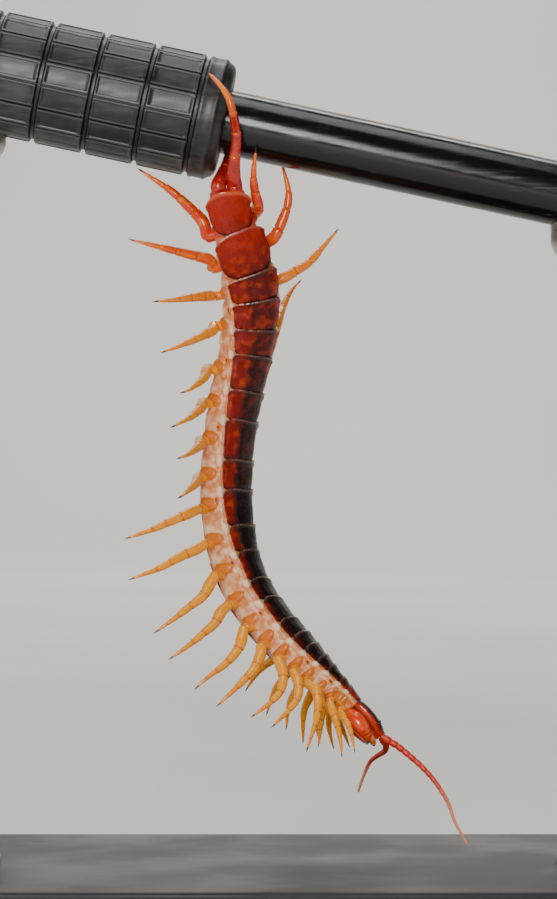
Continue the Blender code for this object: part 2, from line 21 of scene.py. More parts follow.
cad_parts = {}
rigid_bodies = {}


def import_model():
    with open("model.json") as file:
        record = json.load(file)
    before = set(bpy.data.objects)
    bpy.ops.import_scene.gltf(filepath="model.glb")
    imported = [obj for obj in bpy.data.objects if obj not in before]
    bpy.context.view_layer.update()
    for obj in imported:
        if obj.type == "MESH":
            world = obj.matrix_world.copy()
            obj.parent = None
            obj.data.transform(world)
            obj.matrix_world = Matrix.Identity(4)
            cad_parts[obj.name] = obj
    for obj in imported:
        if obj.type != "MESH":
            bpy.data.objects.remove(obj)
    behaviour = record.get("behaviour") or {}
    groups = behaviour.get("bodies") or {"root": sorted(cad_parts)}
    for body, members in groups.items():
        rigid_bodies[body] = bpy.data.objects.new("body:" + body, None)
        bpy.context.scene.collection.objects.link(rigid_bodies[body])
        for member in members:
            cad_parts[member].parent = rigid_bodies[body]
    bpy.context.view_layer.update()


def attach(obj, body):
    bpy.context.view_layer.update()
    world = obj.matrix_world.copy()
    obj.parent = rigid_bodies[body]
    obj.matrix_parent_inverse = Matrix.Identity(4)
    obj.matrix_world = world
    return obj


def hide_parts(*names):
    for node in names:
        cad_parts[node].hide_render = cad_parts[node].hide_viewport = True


LOG = logging.getLogger("centipede")
METRES = 0.001  # one millimetre
GAP = 0.3  # clear space that neighbouring solids keep, in mm
WELD = 0.002  # points nearer than this, in mm, are one

Colour = tuple[float, float, float, float]


def tone(red: float, green: float, blue: float) -> Colour:
    """The linear colour of a screen colour from 0 to 255."""
    shares = [value / 255 for value in (red, green, blue)]
    linear = [share / 12.92 if share <= 0.04045 else ((share + 0.055) / 1.055) ** 2.4 for share in shares]
    return (linear[0], linear[1], linear[2], 1.0)


def smooth(value: np.ndarray | float, low: float, high: float) -> np.ndarray:
    """A soft step from 0 at low to 1 at high."""
    share = np.clip((np.asarray(value, float) - low) / (high - low), 0.0, 1.0)
    return share * share * (3 - 2 * share)


class Side(Enum):
    """The animal's own sides, with their sign along its rightward axis."""

    RIGHT = 1
    LEFT = -1

    @property
    def word(self) -> str:
        """The side's name in a node's name."""
        return self.name.lower()


class Shade:
    """A value or a colour inside a material. Arithmetic on values adds the Math nodes for it."""

    def __init__(self, paint: "Paint", socket: bpy.types.NodeSocket) -> None:
        self.paint = paint
        self.socket = socket

    def _math(self, operation: str, first: "Shade | float", second: "Shade | float") -> "Shade":
        return self.paint.node("ShaderNodeMath", {"operation": operation}, {0: first, 1: second})

    def __add__(self, other: "Shade | float") -> "Shade":
        return self._math("ADD", self, other)

    def __radd__(self, other: float) -> "Shade":
        return self._math("ADD", other, self)

    def __sub__(self, other: "Shade | float") -> "Shade":
        return self._math("SUBTRACT", self, other)

    def __rsub__(self, other: float) -> "Shade":
        return self._math("SUBTRACT", other, self)

    def __mul__(self, other: "Shade | float") -> "Shade":
        return self._math("MULTIPLY", self, other)

    def __rmul__(self, other: float) -> "Shade":
        return self._math("MULTIPLY", other, self)

    def step(self, low: float, high: float, start: float = 0.0, end: float = 1.0) -> "Shade":
        """This value carried softly from start, at low, to end, at high.

        Args:
            low: Where the step begins.
            high: Where it is complete.
            start: What it gives before low.
            end: What it gives past high.

        Returns:
            The stepped value.
        """
        settings = {"interpolation_type": "SMOOTHSTEP"}
        inputs = {0: self, 1: low, 2: high, 3: start, 4: end}
        return self.paint.node("ShaderNodeMapRange", settings, inputs)


Feed = Shade | float | Colour | tuple[float, float, float]


class Paint:
    """A material in the making: a Principled shader and the nodes that feed it."""

    def __init__(self, name: str) -> None:
        self.material = bpy.data.materials.new(name)
        self.material.use_nodes = True
        self.tree = self.material.node_tree
        self.shader = self.tree.nodes["Principled BSDF"]

    def node(
        self, kind: str, settings: dict[str, object], inputs: dict[int | str, Feed], output: int | str = 0
    ) -> Shade:
        """Adds one node.

        Args:
            kind: The node's type.
            settings: Its own settings, set first; "stops" is a ramp's list of places and colours.
            inputs: The values or links of its sockets.
            output: The socket that is handed back.

        Returns:
            The node's output.
        """
        made = self.tree.nodes.new(kind)
        for name, value in settings.items():
            if name == "stops":
                self._set_stops(made.color_ramp, value)
            else:
                setattr(made, name, value)
        for name, value in inputs.items():
            self._feed(made.inputs[name], value)
        return Shade(self, made.outputs[output])

    def _feed(self, socket: bpy.types.NodeSocket, value: Feed) -> None:
        """Links a Shade to a socket, or sets a plain value on it."""
        if isinstance(value, Shade):
            self.tree.links.new(value.socket, socket)
        else:
            socket.default_value = value

    def _set_stops(self, ramp: bpy.types.ColorRamp, stops: Sequence[tuple[float, Colour]]) -> None:
        """Gives a ramp its stops, in order."""
        ramp.elements[0].position, ramp.elements[0].color = stops[0]
        ramp.elements[1].position, ramp.elements[1].color = stops[-1]
        for position, colour in stops[1:-1]:
            ramp.elements.new(position).color = colour

    def mask(self, name: str) -> Shade:
        """A mask that the mesh carries."""
        return self.node("ShaderNodeAttribute", {"attribute_name": name}, {}, "Fac")

    def place(self, stretch: tuple[float, float, float] = (1.0, 1.0, 1.0), turn: float = 0.0) -> Shade:
        """Object coordinates, stretched along the axes and turned about Y.

        Args:
            stretch: Scale along each axis.
            turn: Turn about Y in radians.

        Returns:
            The coordinates.
        """
        source = self.node("ShaderNodeTexCoord", {}, {}, "Object")
        if stretch == (1.0, 1.0, 1.0) and turn == 0.0:
            return source
        inputs = {"Vector": source, "Rotation": (0.0, turn, 0.0), "Scale": stretch}
        return self.node("ShaderNodeMapping", {"vector_type": "POINT"}, inputs)

    def noise(self, size: float, detail: float = 3.0, place: Shade | None = None) -> Shade:
        """Soft noise.

        Args:
            size: Width of its blotches in mm.
            detail: How many finer layers it has.
            place: Its coordinates, if they aren't the plain ones.

        Returns:
            A value around 0.5.
        """
        inputs = {"Vector": place or self.place(), "Scale": 1.0 / (size * METRES), "Detail": detail}
        return self.node("ShaderNodeTexNoise", {}, inputs, "Fac")

    def mix(self, share: Shade | float, first: Feed, second: Feed, blend: str = "MIX") -> Shade:
        """Mixes two colours.

        Args:
            share: How much of the second one shows.
            first: The first colour.
            second: The second colour.
            blend: The way they mix.

        Returns:
            The mixed colour.
        """
        settings = {"data_type": "RGBA", "blend_type": blend, "clamp_factor": True}
        return self.node("ShaderNodeMix", settings, {0: share, 6: first, 7: second}, 2)

    def bump(self, height: Shade, depth: float, strength: float = 1.0) -> Shade:
        """A normal bent by a height.

        Args:
            height: The height, about 0 to 1.
            depth: What a height of 1 stands for, in mm.
            strength: How much of it shows.

        Returns:
            The normal.
        """
        inputs = {"Strength": strength, "Distance": depth * METRES, "Height": height}
        return self.node("ShaderNodeBump", {}, inputs, "Normal")

    def dress(self, sockets: dict[str, Feed]) -> bpy.types.Material:
        """Sets or links the shader's own sockets.

        Args:
            sockets: Values or links by socket name.

        Returns:
            The finished material.
        """
        for name, value in sockets.items():
            self._feed(self.shader.inputs[name], value)
        return self.material


@dataclass(frozen=True)
class PlateFinish:
    """Glossy back plates: black-brown in the middle, mottled red at the flanks, orange-red at the tail."""

    name: str = "back plate"
    middle: Colour = tone(16, 5, 4)
    flank: Colour = tone(125, 16, 5)
    blotch: Colour = tone(175, 48, 14)
    tail: Colour = tone(158, 26, 5)
    # Orange of the rims: partly their own colour, partly a painted highlight on the raised rims.
    margin: Colour = tone(215, 90, 26)
    # Colour of the painted seam shade.
    seam: Colour = tone(10, 4, 4)
    # Pale colour of the painted glint behind the rear rims.
    fold: Colour = tone(238, 214, 204)

    def make(self) -> bpy.types.Material:
        """Builds the material. It reads the masks for the flank, the tail, the rims with their painted highlight,
        the painted seam shade and the painted glint.
        """
        paint = Paint(self.name)
        blotches = paint.noise(2.4, 4.0)
        specks = paint.noise(0.5, 2.0)
        threads = paint.noise(0.8, 2.0)
        red = paint.mix(blotches.step(0.46, 0.66), self.flank, self.blotch)
        red = paint.mix(specks.step(0.45, 0.75) * 0.35, red, self.middle)
        colour = paint.mix((paint.mask("flank") + (blotches - 0.5) * 0.7).step(0.05, 0.95), self.middle, red)
        tail = (paint.mask("tail") + (blotches - 0.5) * 0.5).step(0.1, 0.9)
        colour = paint.mix(tail, colour, self.tail)
        # Rims lightened, most at the tail: partly their own orange, partly a painted highlight. The same mask
        # raises the coat.
        rim = paint.mask("margin")
        colour = paint.mix(rim * (paint.mask("tail") * 0.65 + 0.08), colour, self.margin)
        # Painted shade along the side grooves and over each plate's front, under the plate ahead.
        colour = paint.mix(paint.mask("seam"), colour, self.seam)
        # Painted glint: pale streaks behind the rear rims of the tail plates.
        colour = paint.mix(paint.mask("fold") * threads.step(0.35, 0.6), colour, self.fold)
        wrinkles = paint.noise(1.3, 4.0)
        return paint.dress({
            "Base Color": colour,
            "Roughness": specks.step(0.3, 0.8, 0.24, 0.4),
            "Normal": paint.bump(wrinkles * 0.75 + specks * 0.25, 0.1),
            "Coat Weight": rim * 0.85 + 0.04,
            "Coat Roughness": 0.12,
            "Specular IOR Level": 0.22,
        })


@dataclass(frozen=True)
class SkinFinish:
    """Soft skin of the flanks: pinkish cream folds with browner painted shade in the creases, orange where the
    legs stand.
    """

    name: str = "flank skin"
    flesh: Colour = tone(214, 126, 66)
    pale: Colour = tone(242, 204, 166)
    # Colour of the painted shade in the creases.
    crease: Colour = tone(160, 78, 34)
    coxa: Colour = tone(206, 108, 6)
    tail: Colour = tone(190, 44, 10)

    def make(self) -> bpy.types.Material:
        """Builds the material. It reads the masks pad, coxa and tail, and the mask of painted shade in the
        creases.
        """
        paint = Paint(self.name)
        blotches = paint.noise(1.8, 3.0)
        threads = paint.noise(0.5, 4.0)
        colour = paint.mix(blotches.step(0.4, 0.65) * 0.45, self.flesh, self.pale)
        colour = paint.mix((paint.mask("pad") + (blotches - 0.5) * 0.7).step(0.2, 0.9), colour, self.pale)
        # Painted shade: the valleys of the folds and the rings round the leg roots are painted browner.
        creases = (paint.mask("crease") + (threads - 0.5) * 0.6).step(0.25, 0.95)
        colour = paint.mix(creases * 0.7, colour, self.crease)
        roots = (paint.mask("coxa") + (blotches - 0.5) * 0.3).step(0.3, 0.65)
        colour = paint.mix(roots, colour, self.coxa)
        colour = paint.mix(paint.mask("tail") * 0.9, colour, self.tail)
        return paint.dress({
            "Base Color": colour,
            "Roughness": threads.step(0.3, 0.7, 0.28, 0.45),
            "Normal": paint.bump(threads * 0.6 + blotches * 0.4, 0.16),
            "Specular IOR Level": 0.3,
            "Subsurface Weight": 0.06,
            "Subsurface Radius": (1.0, 0.45, 0.2),
            "Subsurface Scale": 0.0009,
            "Coat Weight": 0.25,
            "Coat Roughness": 0.16,
        })


@dataclass(frozen=True)
class ShellFinish:
    """A plain glossy shell in one hue, with soft clouds, darker joints and a dark or pale end."""

    name: str
    body: Colour
    cloud: Colour
    joint: Colour
    end: Colour
    roughness: tuple[float, float] = (0.22, 0.36)
    grain: float = 0.5
    coat: float = 0.3
    through: float = 0.0

    def make(self) -> bpy.types.Material:
        """Builds the material. It reads the masks joint and end."""
        paint = Paint(self.name)
        clouds = paint.noise(2.2, 3.0)
        grain = paint.noise(self.grain, 2.0)
        colour = paint.mix(clouds.step(0.35, 0.7), self.body, self.cloud)
        colour = paint.mix(paint.mask("joint") * 0.75, colour, self.joint)
        colour = paint.mix((paint.mask("end") + (clouds - 0.5) * 0.2).step(0.1, 0.9), colour, self.end)
        return paint.dress({
            "Base Color": colour,
            "Roughness": grain.step(0.3, 0.75, *self.roughness),
            "Normal": paint.bump(grain * 0.6 + clouds * 0.4, 0.06),
            "Subsurface Weight": self.through,
            "Subsurface Radius": (1.0, 0.4, 0.15),
            "Subsurface Scale": 0.001,
            "Coat Weight": self.coat,
            "Coat Roughness": 0.1,
        })


@dataclass(frozen=True)
class LimbFinish:
    """Glossy walking legs, from yellow-orange at the head to red-orange at the tail, with darker joints."""

    name: str = "leg shell"
    yellow: Colour = tone(244, 160, 6)
    orange: Colour = tone(236, 96, 2)
    red: Colour = tone(205, 36, 4)
    joint: Colour = tone(206, 84, 2)
    pale: Colour = tone(252, 200, 50)

    def make(self) -> bpy.types.Material:
        """Builds the material. It reads the masks warmth, along and joint."""
        paint = Paint(self.name)
        clouds = paint.noise(2.0, 3.0)
        grain = paint.noise(0.35, 2.0)
        warmth = paint.mask("warmth") + (clouds - 0.5) * 0.25
        stops = [(0.0, self.yellow), (0.55, self.orange), (1.0, self.red)]
        colour = paint.node("ShaderNodeValToRGB", {"stops": stops}, {0: warmth}, "Color")
        colour = paint.mix(clouds.step(0.5, 0.75) * 0.35, colour, self.pale)
        colour = paint.mix(paint.mask("joint") * 0.65, colour, self.joint)
        colour = paint.mix(paint.mask("along").step(0.55, 0.95) * 0.3, colour, self.orange)
        return paint.dress({
            "Base Color": colour,
            "Roughness": grain.step(0.3, 0.75, 0.2, 0.34),
            "Specular IOR Level": 0.22,
            "Normal": paint.bump(grain * 0.5 + clouds * 0.5, 0.05),
            "Subsurface Weight": 0.03,
            "Subsurface Radius": (1.0, 0.6, 0.2),
            "Subsurface Scale": 0.0006,
            "Coat Weight": 0.6,
            "Coat Roughness": 0.1,
        })


@dataclass(frozen=True)
class RubberFinish:
    """Charcoal rubber with dust on its raised faces only, and grooves painted darker as painted shade."""

    name: str = "grip rubber"
    rubber: Colour = tone(20, 20, 20)
    dust: Colour = tone(104, 103, 98)
    # Colour of the painted shade in the grooves.
    deep: Colour = tone(10, 10, 10)

    def make(self) -> bpy.types.Material:
        """Builds the material. It reads the mask groove, which is painted darker as painted shade, and the mask of
        the paler tile rims.
        """
        paint = Paint(self.name)
        clouds = paint.noise(9.0, 4.0)
        grain = paint.noise(0.28, 2.0)
        scuffs = paint.noise(1.6, 4.0, paint.place((0.25, 1.0, 1.0), math.radians(-12.2)))
        # Dust is kept off the grooves, so that they stay dark as painted shade.
        dust = (clouds * 0.55 + scuffs * 0.45).step(0.38, 0.68) * (1 - paint.mask("groove"))
        colour = paint.mix(dust * 0.28, self.rubber, self.dust)
        # The tile rims are painted a paler grey.
        colour = paint.mix(paint.mask("wear") * 0.6, colour, self.dust)
        # Painted shade: the grooves, the collar's step and the grip's bore are painted darker.
        colour = paint.mix(paint.mask("groove") * 0.8, colour, self.deep)
        return paint.dress({
            "Base Color": colour,
            "Roughness": scuffs.step(0.3, 0.7, 0.34, 0.46),
            "Normal": paint.bump(grain * 0.6 + scuffs * 0.4, 0.05),
            "Specular IOR Level": 0.5,
        })


@dataclass(frozen=True)
class EnamelFinish:
    """Gloss black enamel on a steel tube, with fine rubbed scratches, bare where the mask cut says so."""

    name: str = "tube enamel"
    enamel: Colour = tone(6, 6, 7)
    steel: Colour = tone(150, 148, 144)

    def make(self) -> bpy.types.Material:
        """Builds the material. It reads the mask cut."""
        paint = Paint(self.name)
        along = paint.place((0.06, 1.0, 1.0), math.radians(-12.2))
        rubs = paint.noise(0.9, 4.0, along)
        specks = paint.noise(0.5, 2.0)
        bare = paint.mask("cut")
        colour = paint.mix(rubs.step(0.62, 0.8) * 0.05, self.enamel, self.steel)
        colour = paint.mix(bare, colour, self.steel)
        return paint.dress({
            "Base Color": colour,
            "Metallic": bare,
            "Roughness": rubs.step(0.4, 0.75, 0.16, 0.3),
            "Normal": paint.bump(specks * 0.5 + rubs * 0.5, 0.015),
            "Specular IOR Level": 0.5,
        })


@dataclass(frozen=True)
class SatinFinish:
    """Satin paint on the base, with a faint orange-peel skin and a little dust."""

    name: str = "base paint"
    paint_tone: Colour = tone(40, 40, 43)
    dust: Colour = tone(74, 73, 71)

    def make(self) -> bpy.types.Material:
        """Builds the material."""
        paint = Paint(self.name)
        peel = paint.noise(1.1, 2.0)
        clouds = paint.noise(38.0, 4.0)
        colour = paint.mix(clouds.step(0.5, 0.8) * 0.3, self.paint_tone, self.dust)
        return paint.dress({
            "Base Color": colour,
            "Roughness": clouds.step(0.3, 0.7, 0.34, 0.5),
            "Normal": paint.bump(peel, 0.03),
            "Specular IOR Level": 0.2,
        })


@dataclass(frozen=True)
class BrushedFinish:
    """Turned and brushed steel of the rods, with rings round each rod."""

    name: str = "brushed steel"
    bright: Colour = tone(196, 195, 192)
    dull: Colour = tone(140, 139, 137)

    def make(self) -> bpy.types.Material:
        """Builds the material."""
        paint = Paint(self.name)
        rings = paint.noise(0.35, 3.0, paint.place((0.05, 0.05, 1.0)))
        stains = paint.noise(6.0, 3.0)
        colour = paint.mix(rings.step(0.35, 0.7) * 0.6 + stains.step(0.5, 0.8) * 0.2, self.bright, self.dull)
        return paint.dress({
            "Base Color": colour,
            "Metallic": 1.0,
            "Roughness": rings.step(0.3, 0.7, 0.24, 0.4),
            "Normal": paint.bump(rings, 0.015),
        })


@dataclass(frozen=True)
class PaperFinish:
    """The pale seamless paper of the studio."""

    name: str = "studio paper"
    paper: Colour = tone(236, 232, 226)
    shade: Colour = tone(230, 226, 219)

    def make(self) -> bpy.types.Material:
        """Builds the material."""
        paint = Paint(self.name)
        clouds = paint.noise(400.0, 2.0)
        colour = paint.mix(clouds.step(0.35, 0.65), self.paper, self.shade)
        return paint.dress({"Base Color": colour, "Roughness": 0.85})


HEAD_SHELL = ShellFinish(
    "head shell", tone(26, 6, 4), tone(64, 10, 5), tone(12, 5, 5), tone(120, 24, 8), coat=0.45
)
CAPSULE_SHELL = ShellFinish(
    "head side", tone(170, 24, 6), tone(196, 42, 10), tone(60, 12, 8), tone(225, 84, 14), coat=0.4
)
FANG_SHELL = ShellFinish(
    "fang shell", tone(228, 58, 5), tone(238, 88, 10), tone(150, 30, 8), tone(10, 6, 6),
    roughness=(0.16, 0.28), coat=0.5
)
FANG_PLATE_SHELL = ShellFinish(
    "fang plate shell", tone(236, 104, 10), tone(242, 132, 26), tone(160, 52, 14), tone(30, 12, 8), coat=0.45
)
BELLY_SHELL = ShellFinish(
    "belly plate", tone(226, 140, 66), tone(236, 164, 96), tone(170, 86, 34), tone(200, 72, 20), coat=0.3
)
LAST_LEG_SHELL = ShellFinish(
    "last leg shell", tone(165, 18, 6), tone(190, 32, 8), tone(220, 92, 20), tone(240, 120, 10), coat=0.45
)
FEELER_SHELL = ShellFinish(
    "feeler shell", tone(200, 38, 14), tone(214, 56, 22), tone(150, 28, 14), tone(232, 150, 112),
    (0.36, 0.55), 0.14, 0.1, 0.2,
)
# The end colour of the breathing holes is the painted shade in their openings.
SPIRACLE_SHELL = ShellFinish(
    "spiracle", tone(236, 116, 12), tone(244, 140, 30), tone(120, 50, 14), tone(96, 34, 8), coat=0.5
)
CLAW_SHELL = ShellFinish(
    "claw", tone(26, 15, 11), tone(44, 24, 16), tone(60, 30, 18), tone(12, 8, 8), coat=0.5
)
EYE_SHELL = ShellFinish(
    "eye", tone(8, 8, 9), tone(14, 13, 14), tone(26, 12, 10), tone(10, 9, 9), (0.05, 0.1), 0.8, 0.8
)


class Form:
    """A mesh in the making, in mm, whose points carry masks for the finish."""

    def __init__(self, *masks: str) -> None:
        self.mesh = bmesh.new()
        self.layers = {name: self.mesh.verts.layers.float.new(name) for name in masks}

    def sheet(self, points: np.ndarray, masks: dict[str, np.ndarray]) -> list[bmesh.types.BMVert]:
        """Adds a grid and lays it through the given places.

        Args:
            points: The places, by row and column.
            masks: What each mask says there.

        Returns:
            The grid's points.
        """
        rows, columns = points.shape[:2]
        counts = {"x_segments": columns - 1, "y_segments": rows - 1}
        made = bmesh.ops.create_grid(self.mesh, size=1.0, **counts)["verts"]
        for vert in made:
            column = round((vert.co.x + 1) / 2 * (columns - 1))
            row = round((vert.co.y + 1) / 2 * (rows - 1))
            vert.co = points[row, column]
            for name, values in masks.items():
                vert[self.layers[name]] = float(values[row, column])
        return made

    def tube(self, points: np.ndarray, masks: dict[str, np.ndarray]) -> None:
        """Adds a closed tube through rings of places, whose last column repeats the first.

        Args:
            points: The places, by ring and turn. A ring of one place is a pole.
            masks: What each mask says there.
        """
        made = self.sheet(points, masks)
        bmesh.ops.remove_doubles(self.mesh, verts=made, dist=WELD)
        rim = [edge for vert in made if vert.is_valid for edge in vert.link_edges if edge.is_boundary]
        if rim:
            bmesh.ops.holes_fill(self.mesh, edges=list(set(rim)), sides=0)

    def shell(self, top: np.ndarray, under: np.ndarray, masks: dict[str, np.ndarray]) -> None:
        """Adds a thin closed plate from its upper and lower faces, which share their border.

        Args:
            top: The upper face, by row and column.
            under: The lower face in the same order.
            masks: What each mask says on both faces.
        """
        made = self.sheet(top, masks) + self.sheet(under, masks)
        bmesh.ops.remove_doubles(self.mesh, verts=made, dist=WELD)

    def finish(self, name: str, material: bpy.types.Material, nodes: Sequence[str] = ()) -> None:
        """Puts the mesh into the scene as one piece that rides on the model.

        Args:
            name: The piece's name.
            material: Its finish.
            nodes: The solids that it stands for.
        """
        bmesh.ops.recalc_face_normals(self.mesh, faces=self.mesh.faces)
        bmesh.ops.scale(self.mesh, vec=(METRES,) * 3, verts=self.mesh.verts)
        data = bpy.data.meshes.new(name)
        self.mesh.to_mesh(data)
        self.mesh.free()
        data.shade_smooth()
        data.set_sharp_from_angle(angle=math.radians(50))
        data.materials.append(material)
        piece = bpy.data.objects.new(name, data)
        bpy.context.scene.collection.objects.link(piece)
        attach(piece, "root")
        if nodes:
            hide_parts(*nodes)
        LOG.info("%s: %d faces", name, len(data.polygons))


class Route:
    """A smooth curve through points in mm, walked by its length."""

    STEPS = 24  # samples between two points

    def __init__(self, points: Sequence[Sequence[float]]) -> None:
        stops = np.array([tuple(point) for point in points], float)
        ends = np.vstack([2 * stops[0] - stops[1], stops, 2 * stops[-1] - stops[-2]])
        t = np.linspace(0, 1, self.STEPS, endpoint=False)[:, None]
        pieces = []
        for a, b, c, d in zip(ends, ends[1:], ends[2:], ends[3:]):
            cubic = -a + 3 * b - 3 * c + d
            pieces.append(0.5 * (2 * b + (c - a) * t + (2 * a - 5 * b + 4 * c - d) * t**2 + cubic * t**3))
        self.samples = np.vstack([*pieces, stops[-1:]])
        steps = np.linalg.norm(np.diff(self.samples, axis=0), axis=1)
        self.distances = np.concatenate([[0.0], np.cumsum(steps)])
        self.length = float(self.distances[-1])

    def at(self, distance: float) -> Vector:
        """The point at a distance along the route, which runs on straight past its ends."""
        inside = min(max(distance, 0.0), self.length)
        point = Vector([np.interp(inside, self.distances, self.samples[:, axis]) for axis in range(3)])
        if inside == distance:
            return point
        end = self.at(0.0) - self.at(0.5) if distance < 0 else self.at(self.length) - self.at(self.length - 0.5)
        return point + end.normalized() * abs(distance - inside)

    def direction(self, distance: float, reach: float = 0.6) -> Vector:
        """The way the route runs at a distance, over a reach before and after it."""
        return (self.at(distance + reach) - self.at(distance - reach)).normalized()

    def rings(self, profile: Sequence[tuple[float, float]], sides: int, flat: float = 1.0) -> np.ndarray:
        """Rings of a tapering tube.

        Args:
            profile: Shares of the route's length, below 0 before its start, and radii in mm.
            sides: How many points go round.
            flat: The tube's thickness as a share of its width.

        Returns:
            The places by ring and turn, with the first turn repeated at the end.
        """
        across = self.direction(0.0).cross(Vector((0.3, 0.2, 1.0))).normalized()
        turns = np.linspace(0, 2 * math.pi, sides + 1)
        rings = []
        for share, radius in profile:
            forward = self.direction(share * self.length)
            across = (across - forward * across.dot(forward)).normalized()
            other = forward.cross(across) * flat
            round_it = np.outer(np.cos(turns), across) + np.outer(np.sin(turns), other)
            rings.append(np.array(self.at(share * self.length)) + radius * round_it)
        return np.array(rings)


def bezier(start: Vector, first: Vector, second: Vector, end: Vector) -> Route:
    """A Route along a cubic Bezier.

    Args:
        start: Where it begins.
        first: The handle of its start.
        second: The handle of its end.
        end: Where it ends.

    Returns:
        The route.
    """
    return Route([
        start * (1 - t) ** 3 + first * 3 * t * (1 - t) ** 2 + second * 3 * t * t * (1 - t) + end * t**3
        for t in (i / 12 for i in range(13))
    ])


def at_number(values: dict[int, float], place: float) -> float:
    """Reads a table by segment number at a place counted in segments, with straight runs between."""
    numbers = sorted(values)
    return float(np.interp(place, numbers, [values[number] for number in numbers]))


@dataclass(frozen=True)
class PhotoFrame:
    """The photograph's frame and the place that its camera had."""

    middle: tuple[float, float] = (278.5, 449.5)
    size: tuple[int, int] = (557, 899)
    mm_per_pixel: float = 0.25  # in the plane of the bar's axis
    distance: float = 900.0
    height: float = 110.9

    def seen(self, across: float, down: float, depth: float = 0.0) -> Vector:
        """The point in mm that shows at a pixel, a depth behind the bar's axis.

        Args:
            across: Pixels from the left.
            down: Pixels from the top.
            depth: Millimetres behind the plane of the bar's axis.

        Returns:
            The point.
        """
        spread = self.mm_per_pixel * (1 + depth / self.distance)
        x = (across - self.middle[0]) * spread
        return Vector((x, depth, self.height + (self.middle[1] - down) * spread))

    def spot(self, point: Vector) -> Vector:
        """The pixel at which a point in mm shows."""
        spread = self.mm_per_pixel * (1 + point.y / self.distance)
        return Vector((point.x / spread + self.middle[0], self.middle[1] - (point.z - self.height) / spread))

    def add_camera(self) -> None:
        """Puts the camera where the photograph was taken from."""
        data = bpy.data.cameras.new("camera")
        data.sensor_width = 36.0
        data.lens = data.sensor_width * self.distance / (self.size[1] * self.mm_per_pixel)
        data.clip_end = 20.0
        camera = bpy.data.objects.new("camera", data)
        camera.location = (0.0, -self.distance * METRES, self.height * METRES)
        camera.rotation_euler = (math.radians(90), 0.0, 0.0)
        bpy.context.scene.collection.objects.link(camera)
        bpy.context.scene.camera = camera


